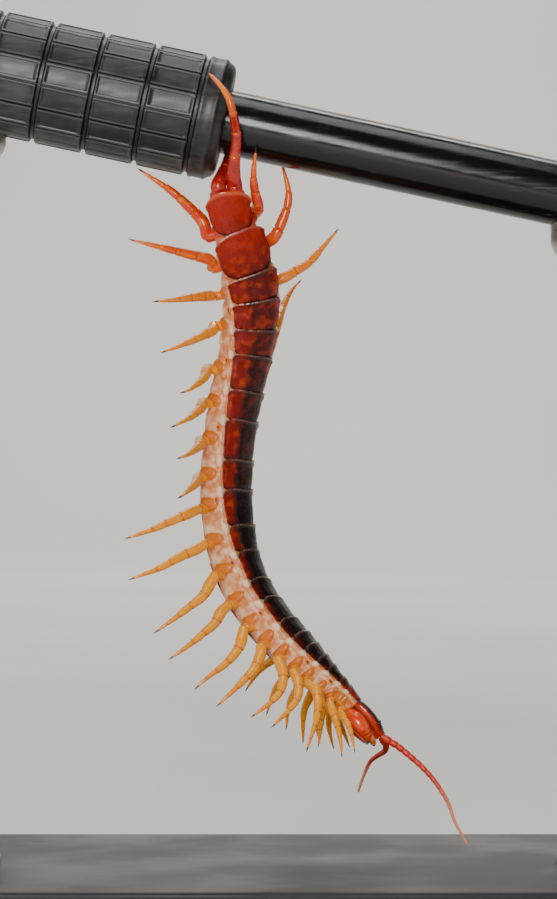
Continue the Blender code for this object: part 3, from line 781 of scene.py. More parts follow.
@dataclass
class BodyPlan:
    """The animal's long axis, its segments from the tail (21) to the neck (1), and its plain trunk."""

    photo: PhotoFrame
    segment_length: dict[int, float] = field(default_factory=lambda: {
        21: 9.8, 20: 11.4, 19: 7.6, 18: 7.9, 17: 6.7, 16: 9.4, 15: 7.6, 14: 10.4, 13: 7.7, 12: 9.8, 11: 7.4,
        10: 9.3, 9: 6.8, 8: 7.4, 7: 4.8, 6: 3.8, 5: 3.9, 4: 3.1, 3: 4.0, 2: 2.5, 1: 3.8,
    })
    width: dict[int, float] = field(default_factory=lambda: {
        21: 9.2, 20: 12.4, 19: 13.8, 14: 14.0, 12: 14.4, 10: 14.6, 8: 14.6, 6: 14.0, 4: 12.4, 1: 10.6,
    })
    height: dict[int, float] = field(default_factory=lambda: {
        21: 6.2, 20: 8.4, 19: 9.4, 17: 9.8, 14: 10.4, 12: 10.8, 10: 11.2, 8: 11.0, 6: 10.2, 4: 8.8, 1: 6.6,
    })
    back_turn: dict[int, float] = field(default_factory=lambda: {
        21: 10, 20: 14, 19: 21, 18: 29, 17: 38, 16: 45, 15: 50, 14: 54, 13: 56, 12: 60, 11: 66, 10: 74, 8: 79,
        7: 78, 6: 79, 5: 82, 3: 90, 1: 97,
    })
    # The body's middle line from the tail's end to the head: pixels across and down, and mm behind the bar.
    stops: tuple[tuple[float, float, float], ...] = (
        (227, 192, -5), (229, 212, -3.8), (239, 243, -0.8), (248, 275, 3.4), (251, 305, 6.6), (246.5, 345, 8.8),
        (239, 380, 9.6), (231.5, 420, 10), (227, 460, 10), (226, 500, 9.8), (229, 530, 9.2), (235, 560, 8.2),
        (248, 592, 6), (268.5, 622, 2.6), (292, 648, -0.3), (318, 674, -2.2), (345, 702, -3.4), (376, 737, -4.4),
    )
    # Where a leg stands: degrees from the middle of the back, and the share of its segment behind it.
    leg_angle: dict[int, float] = field(default_factory=lambda: {
        20: 124, 19: 124, 18: 116, 17: 106, 16: 104, 14: 99, 12: 99, 10: 104, 8: 110, 6: 100, 5: 100, 4: 105,
        3: 110, 1: 117,
    })
    leg_share: dict[int, float] = field(default_factory=lambda: {
        20: 0.04, 19: -0.25, 18: -0.15, 17: 0.05, 16: 0.58, 13: 0.58, 12: 0.45, 9: 0.43, 8: 0.4, 7: 0.27, 6: 0.3,
        5: 0.4, 4: 0.48, 3: 0.6, 1: 0.65,
    })
    axis: Route = field(init=False)
    rear: dict[int, float] = field(init=False)
    neck: float = field(init=False)

    def __post_init__(self) -> None:
        """Walks the axis once and notes where each segment begins."""
        self.axis = Route([self.photo.seen(*stop) for stop in self.stops])
        self.rear = {}
        reached = 0.0
        for number in sorted(self.segment_length, reverse=True):
            self.rear[number] = reached
            reached += self.segment_length[number]
        self.neck = reached

    def segment_at(self, distance: float) -> tuple[int, float]:
        """The segment's number at a distance from the tail's end, and the share of it that lies behind."""
        number = 21
        while number > 1 and distance >= self.rear[number - 1]:
            number -= 1
        share = (distance - self.rear[number]) / self.segment_length[number]
        return number, min(max(share, 0.0), 1.0)

    def leg_distance(self, number: int) -> float:
        """How far from the tail's end a segment's legs stand."""
        return self.rear[number] + at_number(self.leg_share, number) * self.segment_length[number]

    def place_at(self, distance: float) -> float:
        """A distance counted in segments."""
        number, share = self.segment_at(distance)
        return number + 0.5 - share

    def frame(self, distance: float) -> tuple[Vector, Vector, Vector, Vector]:
        """The middle of the section at a distance, and its forward, back-facing and right directions."""
        turn = math.radians(at_number(self.back_turn, self.place_at(distance)))
        forward = self.axis.direction(distance, reach=3.0)
        to_camera = Vector((0, -1, 0))
        to_camera = (to_camera - forward * to_camera.dot(forward)).normalized()
        side = forward.cross(to_camera)
        back = to_camera * math.cos(turn) - side * math.sin(turn)
        return self.axis.at(distance), forward, back, forward.cross(back)

    def ring(self, distance: float, angles: np.ndarray) -> tuple[np.ndarray, np.ndarray]:
        """The plain trunk at a distance.

        Args:
            distance: Millimetres from the tail's end.
            angles: Degrees from the middle of the back, + on the right side.

        Returns:
            The places at those angles, and the ways in which relief lifts them.
        """
        place = self.place_at(distance)
        middle, _, back, right = self.frame(distance)
        across, up = np.sin(np.radians(angles)), np.cos(np.radians(angles))
        across = np.copysign(np.abs(across) ** 0.8, across) * at_number(self.width, place) / 2
        shape = np.where(up >= 0, np.abs(up) ** 0.8, -0.95 * np.abs(up) ** 0.55)
        up = shape * at_number(self.height, place) / 2
        flat = np.outer(across, right) + np.outer(up, back)
        return np.array(middle) + flat, flat / np.linalg.norm(flat, axis=1, keepdims=True)

    def flank(self, distance: float, angle: float) -> Vector:
        """The point of the solid's flank that legs stand on, at a distance and an angle."""
        _, share = self.segment_at(distance)
        nearest = min(abs(distance - self.leg_distance(number)) for number in range(1, 21))
        root_angle = at_number(self.leg_angle, self.place_at(distance))
        lift = 0.7 * math.exp(-((nearest / 1.7) ** 2) - ((abs(angle) - root_angle) / 20) ** 2)
        lift -= float(np.interp(share, (0.0, 0.12, 0.88, 1.0), (0.3, 0.0, 0.0, 0.3)))
        points, ways = self.ring(distance, np.array([angle]))
        return Vector(points[0] + ways[0] * lift)

    def outward(self, distance: float, angle: float) -> Vector:
        """The way that the flank faces, taken over a patch as wide as a leg."""
        along = self.flank(distance + 1.0, angle) - self.flank(distance - 1.0, angle)
        round_it = self.flank(distance, angle + 10) - self.flank(distance, angle - 10)
        normal = along.cross(round_it).normalized()
        return normal if normal.dot(self.flank(distance, angle) - self.axis.at(distance)) > 0 else -normal


@dataclass(frozen=True)
class Pad:
    """One swelling of the flank's skin."""

    share: float  # how far forward its middle lies, as a share of the segment
    angle: float  # degrees from the middle of the back
    along: float  # half its length in mm
    round_it: float  # half its width in degrees
    rise: float
    steep: float = 1.2


@dataclass
class Trunk:
    """The trunk: one skin under 21 back plates and 21 belly plates, with the breathing holes between."""

    plan: BodyPlan
    ring_count: int = 24  # along each segment
    # Degrees from the middle of the back to a plate's side edge.
    plate_edge: dict[int, float] = field(default_factory=lambda: {
        21: 78, 20: 76, 19: 64, 18: 60, 17: 58, 1: 58,
    })
    # Where a plate's corners begin, from its middle (0) to its edge (1), and how long they are in mm.
    plate_corner: dict[int, tuple[float, float]] = field(default_factory=lambda: {
        21: (0.0, 4.8), 20: (0.05, 4.2), 19: (0.35, 2.8), 18: (0.5, 2.6),
    })
    belly_edge: float = 150.0
    plate_columns: int = 45
    plate_rows: int = 25
    plate_thickness: float = 0.32
    coxa: Pad = Pad(0.0, 0.0, 1.85, 25.0, 0.95, 2.4)
    knob: Pad = Pad(0.04, 66.0, 1.65, 12.0, 0.8, 1.8)
    # Folds placed from a segment's rear, and folds placed from where its legs stand.
    plate_pads: tuple[Pad, ...] = (Pad(0.55, 68.0, 3.0, 7.0, 0.3), Pad(0.85, 74.0, 1.5, 9.0, 0.36))
    leg_pads: tuple[Pad, ...] = (
        Pad(0.52, 106.0, 2.3, 22.0, 0.5), Pad(0.5, 134.0, 2.4, 12.0, 0.3), Pad(0.0, 80.0, 2.0, 9.0, 0.34, 1.6),
        Pad(0.42, 84.0, 1.5, 9.0, 0.36, 1.6), Pad(-0.32, 86.0, 1.1, 10.0, 0.34, 1.6),
    )
    breathing: tuple[int, ...] = (3, 5, 8, 10, 12, 14, 16, 18, 20)
    # Where the red of a back plate's flank begins, from its middle (0) to its edge (1).
    red_from: dict[int, float] = field(default_factory=lambda: {
        21: 0.0, 20: 0.0, 18: 0.05, 16: 0.1, 14: 0.16, 13: 0.26, 12: 0.4, 10: 0.55, 5: 0.7, 3: 0.8, 1: 0.4,
    })
    # How red the middle of a plate is.
    middle_red: dict[int, float] = field(default_factory=lambda: {
        21: 0.9, 20: 0.8, 19: 0.6, 17: 0.4, 14: 0.2, 10: 0,
    })
    # How orange the flanks of the segments behind the head are.
    orange_flank: dict[int, float] = field(default_factory=lambda: {1: 1.0, 2: 0.9, 3: 0.2})

    def relief(
        self, number: int, shares: np.ndarray, angles: np.ndarray
    ) -> tuple[np.ndarray, dict[str, np.ndarray]]:
        """The skin's relief over one segment.

        Args:
            number: The segment.
            shares: Places along it, as a column.
            angles: Degrees from the middle of the back, as a row.

        Returns:
            How far the skin stands out in mm, and its masks.
        """
        plan = self.plan
        length = plan.segment_length[number]
        along, side = shares[:, None] * length, np.abs(angles)[None, :]
        edge = at_number(self.plate_edge, number)
        bare = smooth(side, edge - 4, edge + 3) * (1 - smooth(side, 146, 153))
        reach = min(1.0, length / 8.0) ** 0.7

        def hill(pad: Pad, middle: float, angle: float) -> np.ndarray:
            far = ((along - middle) / (pad.along * reach)) ** 2 + ((side - angle) / pad.round_it) ** 2
            return np.clip(1 - far, 0, None) ** (1 / pad.steep)

        blank = np.zeros((len(shares), len(angles)))
        pads, knob, coxa = blank.copy(), blank.copy(), blank.copy()
        for near in range(max(1, number - 1), min(21, number + 1) + 1):
            rear = plan.rear[near] - plan.rear[number]
            size = plan.segment_length[near]
            knob = np.maximum(knob, hill(self.knob, rear + self.knob.share * size, self.knob.angle))
            for pad in self.plate_pads:
                pads = np.maximum(pads, hill(pad, rear + pad.share * size, pad.angle) * pad.rise)
            if near < 21:
                leg = plan.leg_distance(near) - plan.rear[number]
                coxa = np.maximum(coxa, hill(self.coxa, leg - 0.9, at_number(plan.leg_angle, near)))
                for pad in self.leg_pads:
                    pads = np.maximum(pads, hill(pad, leg + pad.share * size, pad.angle) * pad.rise)
        folds = np.sin(side * 0.75 + 2.2 * np.sin(along * 0.9 + number)) * np.sin(along * 1.7 + side * 0.08)
        lift = np.maximum.reduce([pads, knob * self.knob.rise, coxa * self.coxa.rise])
        lift = lift + 0.05 * folds * (1 - coxa)
        orange = smooth(side, 74, 84) * self.orange_flank.get(number, 0.0)
        rim = np.exp(-(((coxa - 0.12) / 0.14) ** 2)) * (coxa > 0)
        masks = {
            "pad": np.clip(knob * 1.2 + pads / 0.5 * 0.7, 0, 1) * bare,
            # Painted shade in the fold valleys and round each leg root.
            "crease": np.clip(0.75 * rim + 0.35 * (1 - pads / 0.4) * (folds < 0), 0, 1) * bare,
            "coxa": np.maximum(smooth(coxa, 0.05, 0.3), orange),
            "tail": blank + {21: 1.0, 20: 0.45, 19: 0.15}.get(number, 0.0),
        }
        return lift * bare - 0.28, masks

    def angles(self) -> np.ndarray:
        """The turns of the skin's columns, closest together on the flanks."""
        right = np.concatenate([
            np.linspace(0, 50, 8, endpoint=False),
            np.linspace(50, 153, 44, endpoint=False),
            np.linspace(153, 180, 6),
        ])
        return np.concatenate([-right[:0:-1], right])

    def make_skin(self, material: bpy.types.Material) -> None:
        """One skin over the whole trunk, round at both ends."""
        plan = self.plan
        angles = self.angles()
        form = Form("pad", "crease", "coxa", "tail")
        rows: list[np.ndarray] = []
        masks: dict[str, list[np.ndarray]] = {name: [] for name in form.layers}
        shares = (np.arange(self.ring_count) + 0.5) / self.ring_count
        for number in sorted(plan.rear, reverse=True):
            lift, told = self.relief(number, shares, angles)
            for index, share in enumerate(shares):
                points, ways = plan.ring(plan.rear[number] + share * plan.segment_length[number], angles)
                rows.append(points + ways * lift[index][:, None])
                for name, values in told.items():
                    masks[name].append(values[index])
        for end, reach in ((0, -0.9), (-1, 0.5)):
            _, forward, _, _ = plan.frame(0.0 if end == 0 else plan.neck)
            last, middle = rows[end], rows[end].mean(axis=0)
            for size, step in ((0.92, 0.45), (0.6, 0.85), (0.0, 1.0)):
                cap = middle + (last - middle) * size + np.array(forward) * reach * step
                for values, value in ((rows, cap), *((values, values[end]) for values in masks.values())):
                    values.insert(0 if end == 0 else len(values), value)
        form.tube(np.array(rows), {name: np.array(values) for name, values in masks.items()})
        nodes = ["trunk_21_17", "trunk_16_13", "trunk_12_09", "trunk_08_05", "trunk_04_01"]
        form.finish("trunk_skin", material, nodes)

    def plate(self, form: Form, number: int, belly: bool) -> None:
        """Adds one plate of the back or the belly, which laps over the next one behind it.

        Args:
            form: The mesh that it joins.
            number: Its segment.
            belly: Whether it lies on the belly.
        """
        plan = self.plan
        length = plan.segment_length[number]
        edge = 180 - self.belly_edge if belly else at_number(self.plate_edge, number)
        spread = np.linspace(-1, 1, self.plate_columns)
        across = np.sin(spread * math.pi / 2) * 0.6 + spread * 0.4
        even = np.linspace(0, 1, self.plate_rows)
        along = (1 - np.cos(even * math.pi)) / 4 + even / 2
        start, corner = 0.72, min(0.26 * length, 1.9)
        if not belly:
            start, corner = self.plate_corner.get(number, (0.6, min(0.3 * length, 2.5)))
        beyond = np.clip((np.abs(across) - start) / (1 - start), 0, 1)
        round_off = corner * (1 - np.sqrt(1 - 0.98 * beyond ** 2))
        rear = (-0.35 if belly else -0.55) + round_off
        front = length + 0.1 - round_off * (0.95 if number > 19 else 0.7)
        top = np.empty((self.plate_rows, self.plate_columns, 3))
        under = np.empty_like(top)
        to_side = (1 - np.abs(across))[None, :] * edge * 0.13
        border = np.minimum(to_side, np.minimum(along, 1 - along)[:, None] * length)
        thick = self.plate_thickness * np.sqrt(smooth(border, 0.0, 0.3))
        lift = self.plate_lift(number, along, across, belly)
        for row, share in enumerate(along):
            for column, distance in enumerate(plan.rear[number] + rear + share * (front - rear)):
                points, ways = plan.ring(distance, np.array([across[column] * edge + (180.0 if belly else 0.0)]))
                top[row, column] = points[0] + ways[0] * lift[row, column]
                under[row, column] = points[0] + ways[0] * (lift[row, column] - thick[row, column])
        form.shell(top, under, self.plate_masks(number, along, across, belly))

    def plate_lift(self, number: int, along: np.ndarray, across: np.ndarray, belly: bool) -> np.ndarray:
        """How far a plate's upper face stands over the plain trunk, in mm by row and column."""
        v, far = along[:, None], np.abs(across)[None, :]
        length = self.plan.segment_length[number]
        if belly:
            lift = np.interp(v * length, (0.0, 0.5, length * 0.8, length + 0.3), (0.34, 0.34, 0.2, 0.0))
            lift = lift - 0.07 * np.exp(-(((far - 0.5) / 0.05) ** 2)) * (1 - smooth(v, 0.8, 0.95))
            return lift + 0.1 * (1 - far**2) * np.sin(v * math.pi)
        steps = (0.0, 0.2, 0.45, 0.75, 1.6, length * 0.8, length + 0.5)
        lift = np.interp(v * length, steps, (0.62, 0.7, 0.66, 0.5, 0.4, 0.28, 0.02))
        lift = lift + {21: 0.75, 20: 0.6, 19: 0.2}.get(number, 0.0) * smooth(far, 0.55, 0.95) * (1 - 0.5 * v)
        lift = lift - 0.3 * smooth(far, 0.95, 1.0)
        if number < 21:
            lift = lift - 0.07 * np.exp(-(((far - 0.3) / 0.028) ** 2)) * smooth(v, 0.05, 0.15)
        else:
            lift = lift - 0.08 * np.exp(-((far / 0.05) ** 2)) * (1 - smooth(v, 0.3, 0.8)) * smooth(v, 0.05, 0.15)
        if 4 < number:
            lift = lift + 0.1 * smooth(far, 0.9, 0.94) - 0.07 * np.exp(-(((far - 0.87) / 0.03) ** 2))
        return lift + 0.06 * np.sin(v * 9 + number) * np.cos(far * 5 + number)

    def plate_masks(
        self, number: int, along: np.ndarray, across: np.ndarray, belly: bool
    ) -> dict[str, np.ndarray]:
        """What the finish's masks say on one plate, by row and column."""
        blank = np.zeros((len(along), len(across)))
        v, far = blank + along[:, None], blank + np.abs(across)[None, :]
        if belly:
            return {"joint": 1 - smooth(v, 0.0, 0.12), "end": blank + (0.6 if number > 19 else 0.0)}
        rear = v * self.plan.segment_length[number]
        # The left flank is painted darker: painted shade on the side of the back turned from the light.
        start = at_number(self.red_from, number) + 0.3 * (blank + across[None, :] < 0)
        flank = np.maximum(smooth(far, start - 0.15, start + 0.45), at_number(self.middle_red, number))
        flank = flank * (1 - 0.6 * smooth(v, 0.8, 1.0)) * (0.55 + 0.45 * smooth(rear, 0.5, 1.5))
        flank = flank * at_number({21: 1.0, 13: 1.0, 11: 0.85, 9: 0.6, 5: 0.5, 3: 0.7, 1: 1.0}, number)
        tail = {21: 1.0, 20: 0.55, 19: 0.1}.get(number, 0.0) * (1 - 0.6 * smooth(v, 0.2, 1.0))
        # Rims, with the last plate's wide rear rim: their lighter colour is partly their own and partly a painted
        # highlight.
        margin = np.exp(-(((rear - 0.3) / 0.28) ** 2)) * (1 - smooth(far, 0.8, 1.0))
        margin = np.maximum(margin, 0.4 * smooth(far, 0.93, 0.97))
        if number == 21:
            margin = np.maximum(margin, 1 - smooth(rear, 0.3, 1.2))
        # Painted shade: dark along the groove near each side edge and over each plate's front end, which lies
        # under the rim of the plate ahead.
        seam = 0.35 * np.exp(-(((far - 0.87) / 0.03) ** 2)) + 0.8 * smooth(v, 0.93, 1.0)
        # Painted glint: pale streaks painted just behind the rear rims of the plates nearest the tail, on their
        # right half, in place of a highlight.
        fold = np.exp(-(((rear - 0.15) / 0.22) ** 2)) * np.exp(-(((blank + across[None, :] - 0.4) / 0.4) ** 2))
        fold = fold * at_number({21: 0.0, 20: 0.9, 18: 0.9, 17: 0.3, 16: 0.15, 1: 0.1}, number)
        return {"flank": flank, "tail": tail, "margin": margin, "seam": np.clip(seam, 0, 1), "fold": fold}

    def make_plates(self, back: bpy.types.Material, belly: bpy.types.Material) -> None:
        """The plates of the back and of the belly."""
        form = Form("flank", "tail", "margin", "seam", "fold")
        for number in sorted(self.plan.rear):
            self.plate(form, number, False)
        form.finish("back_plates", back)
        form = Form("joint", "end")
        for number in sorted(self.plan.rear):
            self.plate(form, number, True)
        form.finish("belly_plates", belly)

    def make_spiracles(self, material: bpy.types.Material) -> None:
        """Oval breathing holes with raised rims, on both flanks of nine segments, their middles painted dark as
        painted shade in the openings.
        """
        form = Form("joint", "end")
        turns = np.linspace(0, 2 * math.pi, 25)
        # Each row: size, rise in mm, and share of the painted shade in the hole's middle.
        profile = ((1.0, -0.35, 0.0), (0.98, 0.1, 0.0), (0.85, 0.24, 0.0), (0.66, 0.22, 0.2), (0.45, 0.06, 0.7),
                   (0.25, -0.02, 1.0), (0.0, -0.04, 1.0))
        for number in self.breathing:
            for side in Side:
                distance = self.plan.rear[number] + 0.75 + 1.7
                centre = self.plan.flank(distance, side.value * 78)
                normal = self.plan.outward(distance, side.value * 78)
                forward = self.plan.frame(distance)[1]
                forward = (forward - normal * forward.dot(normal)).normalized()
                other = normal.cross(forward)
                rings = []
                for size, rise, _ in profile:
                    flat = np.outer(np.cos(turns), forward) * 0.95 * size
                    flat = flat + np.outer(np.sin(turns), other) * 0.55 * size
                    rings.append(np.array(centre) + flat + np.array(normal) * (rise + 0.1))
                # The hole's middle is painted dark as painted shade in its opening.
                dark = np.array([[row[2]] * len(turns) for row in profile])
                form.tube(np.array(rings), {"joint": dark * 0.0, "end": dark})
        form.finish("spiracles", material)


@dataclass
class WalkingLegs:
    """Twenty pairs of walking legs, jointed, each ending in a dark claw."""

    plan: BodyPlan
    length: dict[int, float] = field(default_factory=lambda: {
        1: 14.6, 2: 16.5, 3: 17.0, 4: 21.0, 5: 21.2, 6: 22.0, 7: 23.0, 8: 23.6, 9: 24.2, 10: 24.8, 11: 24.6,
        12: 24.2, 13: 23.5, 14: 23.5, 15: 23.5, 16: 23.5, 17: 23.5, 18: 24.2, 19: 26.0, 20: 28.5,
    })
    # Where each leg shows in the photograph, in pixels from its root to its foot. A third number is the foot's
    # known place in mm behind the bar; other feet are as near or as far as the leg's length allows.
    right_lines: dict[int, tuple[tuple[float, ...], ...]] = field(default_factory=lambda: {
        20: ((203, 222), (186, 204), (170, 190), (155, 180), (137, 168, 3.0)),
        19: ((210, 260), (192, 255), (160, 247), (128, 239)),
        18: ((208, 296), (190, 298), (170, 300.5), (152, 301.5)),
        17: ((212, 331), (198, 338), (180, 346), (160, 353)),
        16: ((204, 378), (195, 386), (187, 391), (179, 393)),
        15: ((200, 409), (191, 417), (182, 422), (170, 428)),
        14: ((200, 445), (192, 452), (185, 456), (176, 459)),
        13: ((197, 482), (189, 490), (183, 495), (177, 499)),
        12: ((192, 512), (174, 520), (156, 528), (140, 534), (124, 539)),
        11: ((197, 549), (180, 557), (160, 568), (142, 575), (128, 580)),
        10: ((210, 584), (203, 596), (192, 605), (175, 618), (153, 634)),
        9: ((221, 612), (215, 623), (205, 632), (188, 646), (168, 660)),
        8: ((240, 645), (233, 656), (223, 666), (207, 678), (194, 690)),
        7: ((260, 656), (254, 669), (244, 680), (231, 693), (216, 707)),
        6: ((283, 674), (281, 690), (271, 702), (250, 718)),
        5: ((298, 683), (298, 696), (290, 709), (271, 728)),
        4: ((316.5, 691), (317, 716), (306, 753, -22)), 3: ((322, 709), (320.5, 730), (318, 748, -11.5)),
        2: ((338, 728), (341, 745), (342, 758)), 1: ((349, 727), (353, 742), (355, 753)),
    })
    left_lines: dict[int, tuple[tuple[float, ...], ...]] = field(default_factory=lambda: {
        20: ((258, 207), (255, 192), (253.5, 175), (256, 147, -7.6)),
        19: ((275, 236), (283, 219), (288, 203), (288, 188), (281, 160, 6.4)),
        18: ((289, 275), (299, 269), (311, 261), (324, 246), (339, 228)),
        17: ((283, 306), (292, 290), (302, 279)),
        16: ((279, 329), (283.5, 317)), 7: ((262, 668), (251, 682), (245, 692)), 6: ((275, 690), (266, 716)),
        5: ((290, 702), (286, 730)), 4: ((304, 712), (303, 744)), 3: ((316, 718), (320, 744)),
        2: ((329, 728), (334, 750)), 1: ((343, 730), (350, 748)),
    })
    joints: tuple[float, ...] = (0.045, 0.315, 0.525, 0.69, 0.83)
    thickness: tuple[tuple[float, float], ...] = (
        (-0.1, 1.3), (0.0, 1.3), (0.05, 1.3), (0.2, 1.5), (0.31, 1.28), (0.42, 1.22), (0.52, 1.0), (0.6, 0.98),
        (0.685, 0.74), (0.76, 0.62), (0.83, 0.5), (0.93, 0.3),
    )
    claw_from: float = 0.935
    sides: int = 20

    def route(self, number: int, side: Side) -> Route:
        """The middle line of a leg, from its root to its foot, as in the solids."""
        plan, length = self.plan, self.length[number]
        distance = plan.leg_distance(number)
        angle = side.value * at_number(plan.leg_angle, number)
        normal = plan.outward(distance, angle)
        root = plan.flank(distance, angle) + normal * 1.5 * GAP
        line = (self.right_lines if side is Side.RIGHT else self.left_lines).get(number)
        if line is None:
            _, forward, back, right = plan.frame(distance)
            drop = math.radians(18 + 2.2 * max(0, number - 8))
            lean = 0.12 * math.sin(1.3 * number) + 0.1
            way = right * side.value * math.cos(drop) - back * math.sin(drop) + forward * lean
            tip = root + way.normalized() * length * 0.92
            lead = forward * 0.1 * length
            return bezier(root, root + normal * 0.16 * length + lead, root.lerp(tip, 0.62) + lead, tip)
        spots = [plan.photo.spot(root), *[Vector(point[:2]) for point in line]]
        steps = [0.0]
        for near, far in zip(spots, spots[1:]):
            steps.append(steps[-1] + (far - near).length)

        def towards(depth: float) -> Route:
            shares = [1 - (1 - step / steps[-1]) ** 1.7 for step in steps[1:]]
            seen = [plan.photo.seen(*spot, root.y + depth * share) for spot, share in zip(spots[1:], shares)]
            out = root + normal * (0.05 if side is Side.RIGHT else 0.09) * length
            turned = [out.lerp(seen[0], 0.35)] if number < 19 else []
            return Route([root, out, *turned, *seen])

        if len(line[-1]) == 3:
            return towards(line[-1][2] - root.y)
        nearer, further = 0.0, length
        for _ in range(20):
            middle = (nearer + further) / 2
            if towards(-side.value * middle).length < length:
                nearer = middle
            else:
                further = middle
        return towards(-side.value * nearer)

    def profile(self, size: float) -> tuple[list[tuple[float, float]], list[float]]:
        """The leg's radii along it, pinched at each joint, and how near each ring is to a joint."""
        shares = sorted(
            [*np.linspace(-0.07, self.claw_from, 56)]
            + [joint + offset for joint in self.joints for offset in (-0.012, -0.006, 0.0, 0.006, 0.012, 0.02)]
        )
        places, radii = zip(*self.thickness)
        rows, near = [], []
        for share in shares:
            radius = float(np.interp(share, places, radii)) * size
            pinch = max(math.exp(-(((share - joint) / 0.007) ** 2)) for joint in self.joints)
            flare = max(math.exp(-(((share - joint + 0.02) / 0.014) ** 2)) for joint in self.joints)
            rows.append((share, radius * (1 - 0.2 * pinch + 0.07 * flare)))
            near.append(max(math.exp(-(((share - joint) / 0.013) ** 2)) for joint in self.joints))
        rows.append((self.claw_from + 0.004, rows[-1][1] * 0.7))
        rows.append((self.claw_from + 0.006, 0.0))
        return rows, near + [0.0, 0.0]

    def make(self, shell: bpy.types.Material, claw: bpy.types.Material) -> None:
        """Builds the legs of each side as one piece, and all the claws as another."""
        claws = Form("joint", "end")
        for side in Side:
            form = Form("warmth", "along", "joint")
            for number in sorted(self.length):
                route = self.route(number, side)
                size = (self.length[number] / 23.5) ** 0.8
                rows, near = self.profile(size)
                rings = route.rings(rows, self.sides, 0.92)
                wide = np.ones(self.sides + 1)
                warmth = np.interp(number, (0, 16.5, 18, 19, 20), (0.06, 0.1, 0.35, 0.75, 0.95))
                shares = np.array([row[0] for row in rows])
                warm = warmth * (1 - 0.45 * smooth(shares, 0.5, 0.95)) if number > 17 else shares * 0 + warmth
                masks = {
                    "warmth": np.outer(warm, wide),
                    "along": np.outer(shares, wide),
                    "joint": np.outer(near, wide),
                }
                form.tube(rings, masks)
                self.add_claw(claws, route, size)
            nodes = [f"leg_{side.word}_{number:02d}" for number in sorted(self.length)]
            form.finish(f"walking_legs_{side.word}", shell, nodes)
        claws.finish("claws", claw)

    def add_claw(self, form: Form, route: Route, size: float) -> None:
        """Adds a leg's curved claw to a mesh, its root inside the last joint."""
        spread = np.linspace(0, 1, 10)
        rows = [
            (self.claw_from - 0.015 + share * (1.015 - self.claw_from), 0.27 * size * (1 - share**1.6) ** 0.8)
            for share in spread
        ]
        rings = route.rings(rows, 10)
        form.tube(rings, {"joint": rings[:, :, 0] * 0, "end": np.outer(spread, np.ones(rings.shape[1]))})


@dataclass
class LastLegs:
    """The long pair at the tail, which holds the bar: the left one over its front, the right one behind it."""

    plan: BodyPlan
    left: tuple[tuple[float, float, float], ...] = (
        (233.5, 176, -6.6), (234.3, 160, -9.0), (236.5, 139, -10.6), (235, 124, -13.2), (232.5, 111, -16.6),
        (228.5, 98, -16.9), (220, 85, -15.6), (208.5, 73, -13.2),
    )
    right: tuple[tuple[float, float, float], ...] = (
        (222.8, 174, -1.6), (226.6, 164, 2.6), (230.5, 150, 8.4), (235, 133, 11.2), (240, 116, 11.0),
        (246, 104, 10.4),
        (251, 98, 9.9),
    )
    spread: float = 2.0
    joints: tuple[float, ...] = (0.27, 0.45, 0.64, 0.83)
    thickness: tuple[tuple[float, float], ...] = (
        (-0.16, 2.05), (0.0, 1.98), (0.06, 1.92), (0.16, 1.68), (0.27, 1.4), (0.36, 1.28), (0.45, 1.22),
        (0.55, 1.12), (0.64, 1.02), (0.74, 0.92), (0.83, 0.7), (0.93, 0.48), (0.97, 0.36),
    )

    def make(self, shell: bpy.types.Material) -> None:
        """Builds the two legs as two pieces."""
        tail, forward, _, right = self.plan.frame(0.0)
        for side, stops in ((Side.LEFT, self.left), (Side.RIGHT, self.right)):
            root = tail + right * side.value * self.spread
            seen = [self.plan.photo.seen(*stop) for stop in stops]
            route = Route([root - forward * 2 * GAP, root - forward * 1.9, *seen])
            form = Form("joint", "end")
            places, radii = zip(*self.thickness)
            rows, near = [], []
            offsets = (-0.006, 0.0, 0.006)
            shares = sorted([*np.linspace(-0.15, 0.97, 88)] + [j + o for j in self.joints for o in offsets])
            for share in shares:
                radius = float(np.interp(share, places, radii))
                pinch = max(math.exp(-(((share - joint) / 0.007) ** 2)) for joint in self.joints)
                flare = max(math.exp(-(((share - joint + 0.018) / 0.014) ** 2)) for joint in self.joints)
                rows.append((share, radius * (1 - 0.16 * pinch + 0.06 * flare)))
                near.append(max(math.exp(-(((share - joint) / 0.013) ** 2)) for joint in self.joints))
            rows += [(0.985, 0.22), (1.0, 0.0)]
            rings = route.rings(rows, 28)
            wide = np.ones(rings.shape[1])
            along = np.array([row[0] for row in rows])
            end = np.outer(smooth(along, 0.45, 0.95), wide)
            masks = {"joint": np.outer(near + [0.0, 0.0], wide), "end": end}
            form.tube(rings, masks)
            form.finish(f"gripping_leg_{side.word}", shell, [f"last_leg_{side.word}"])


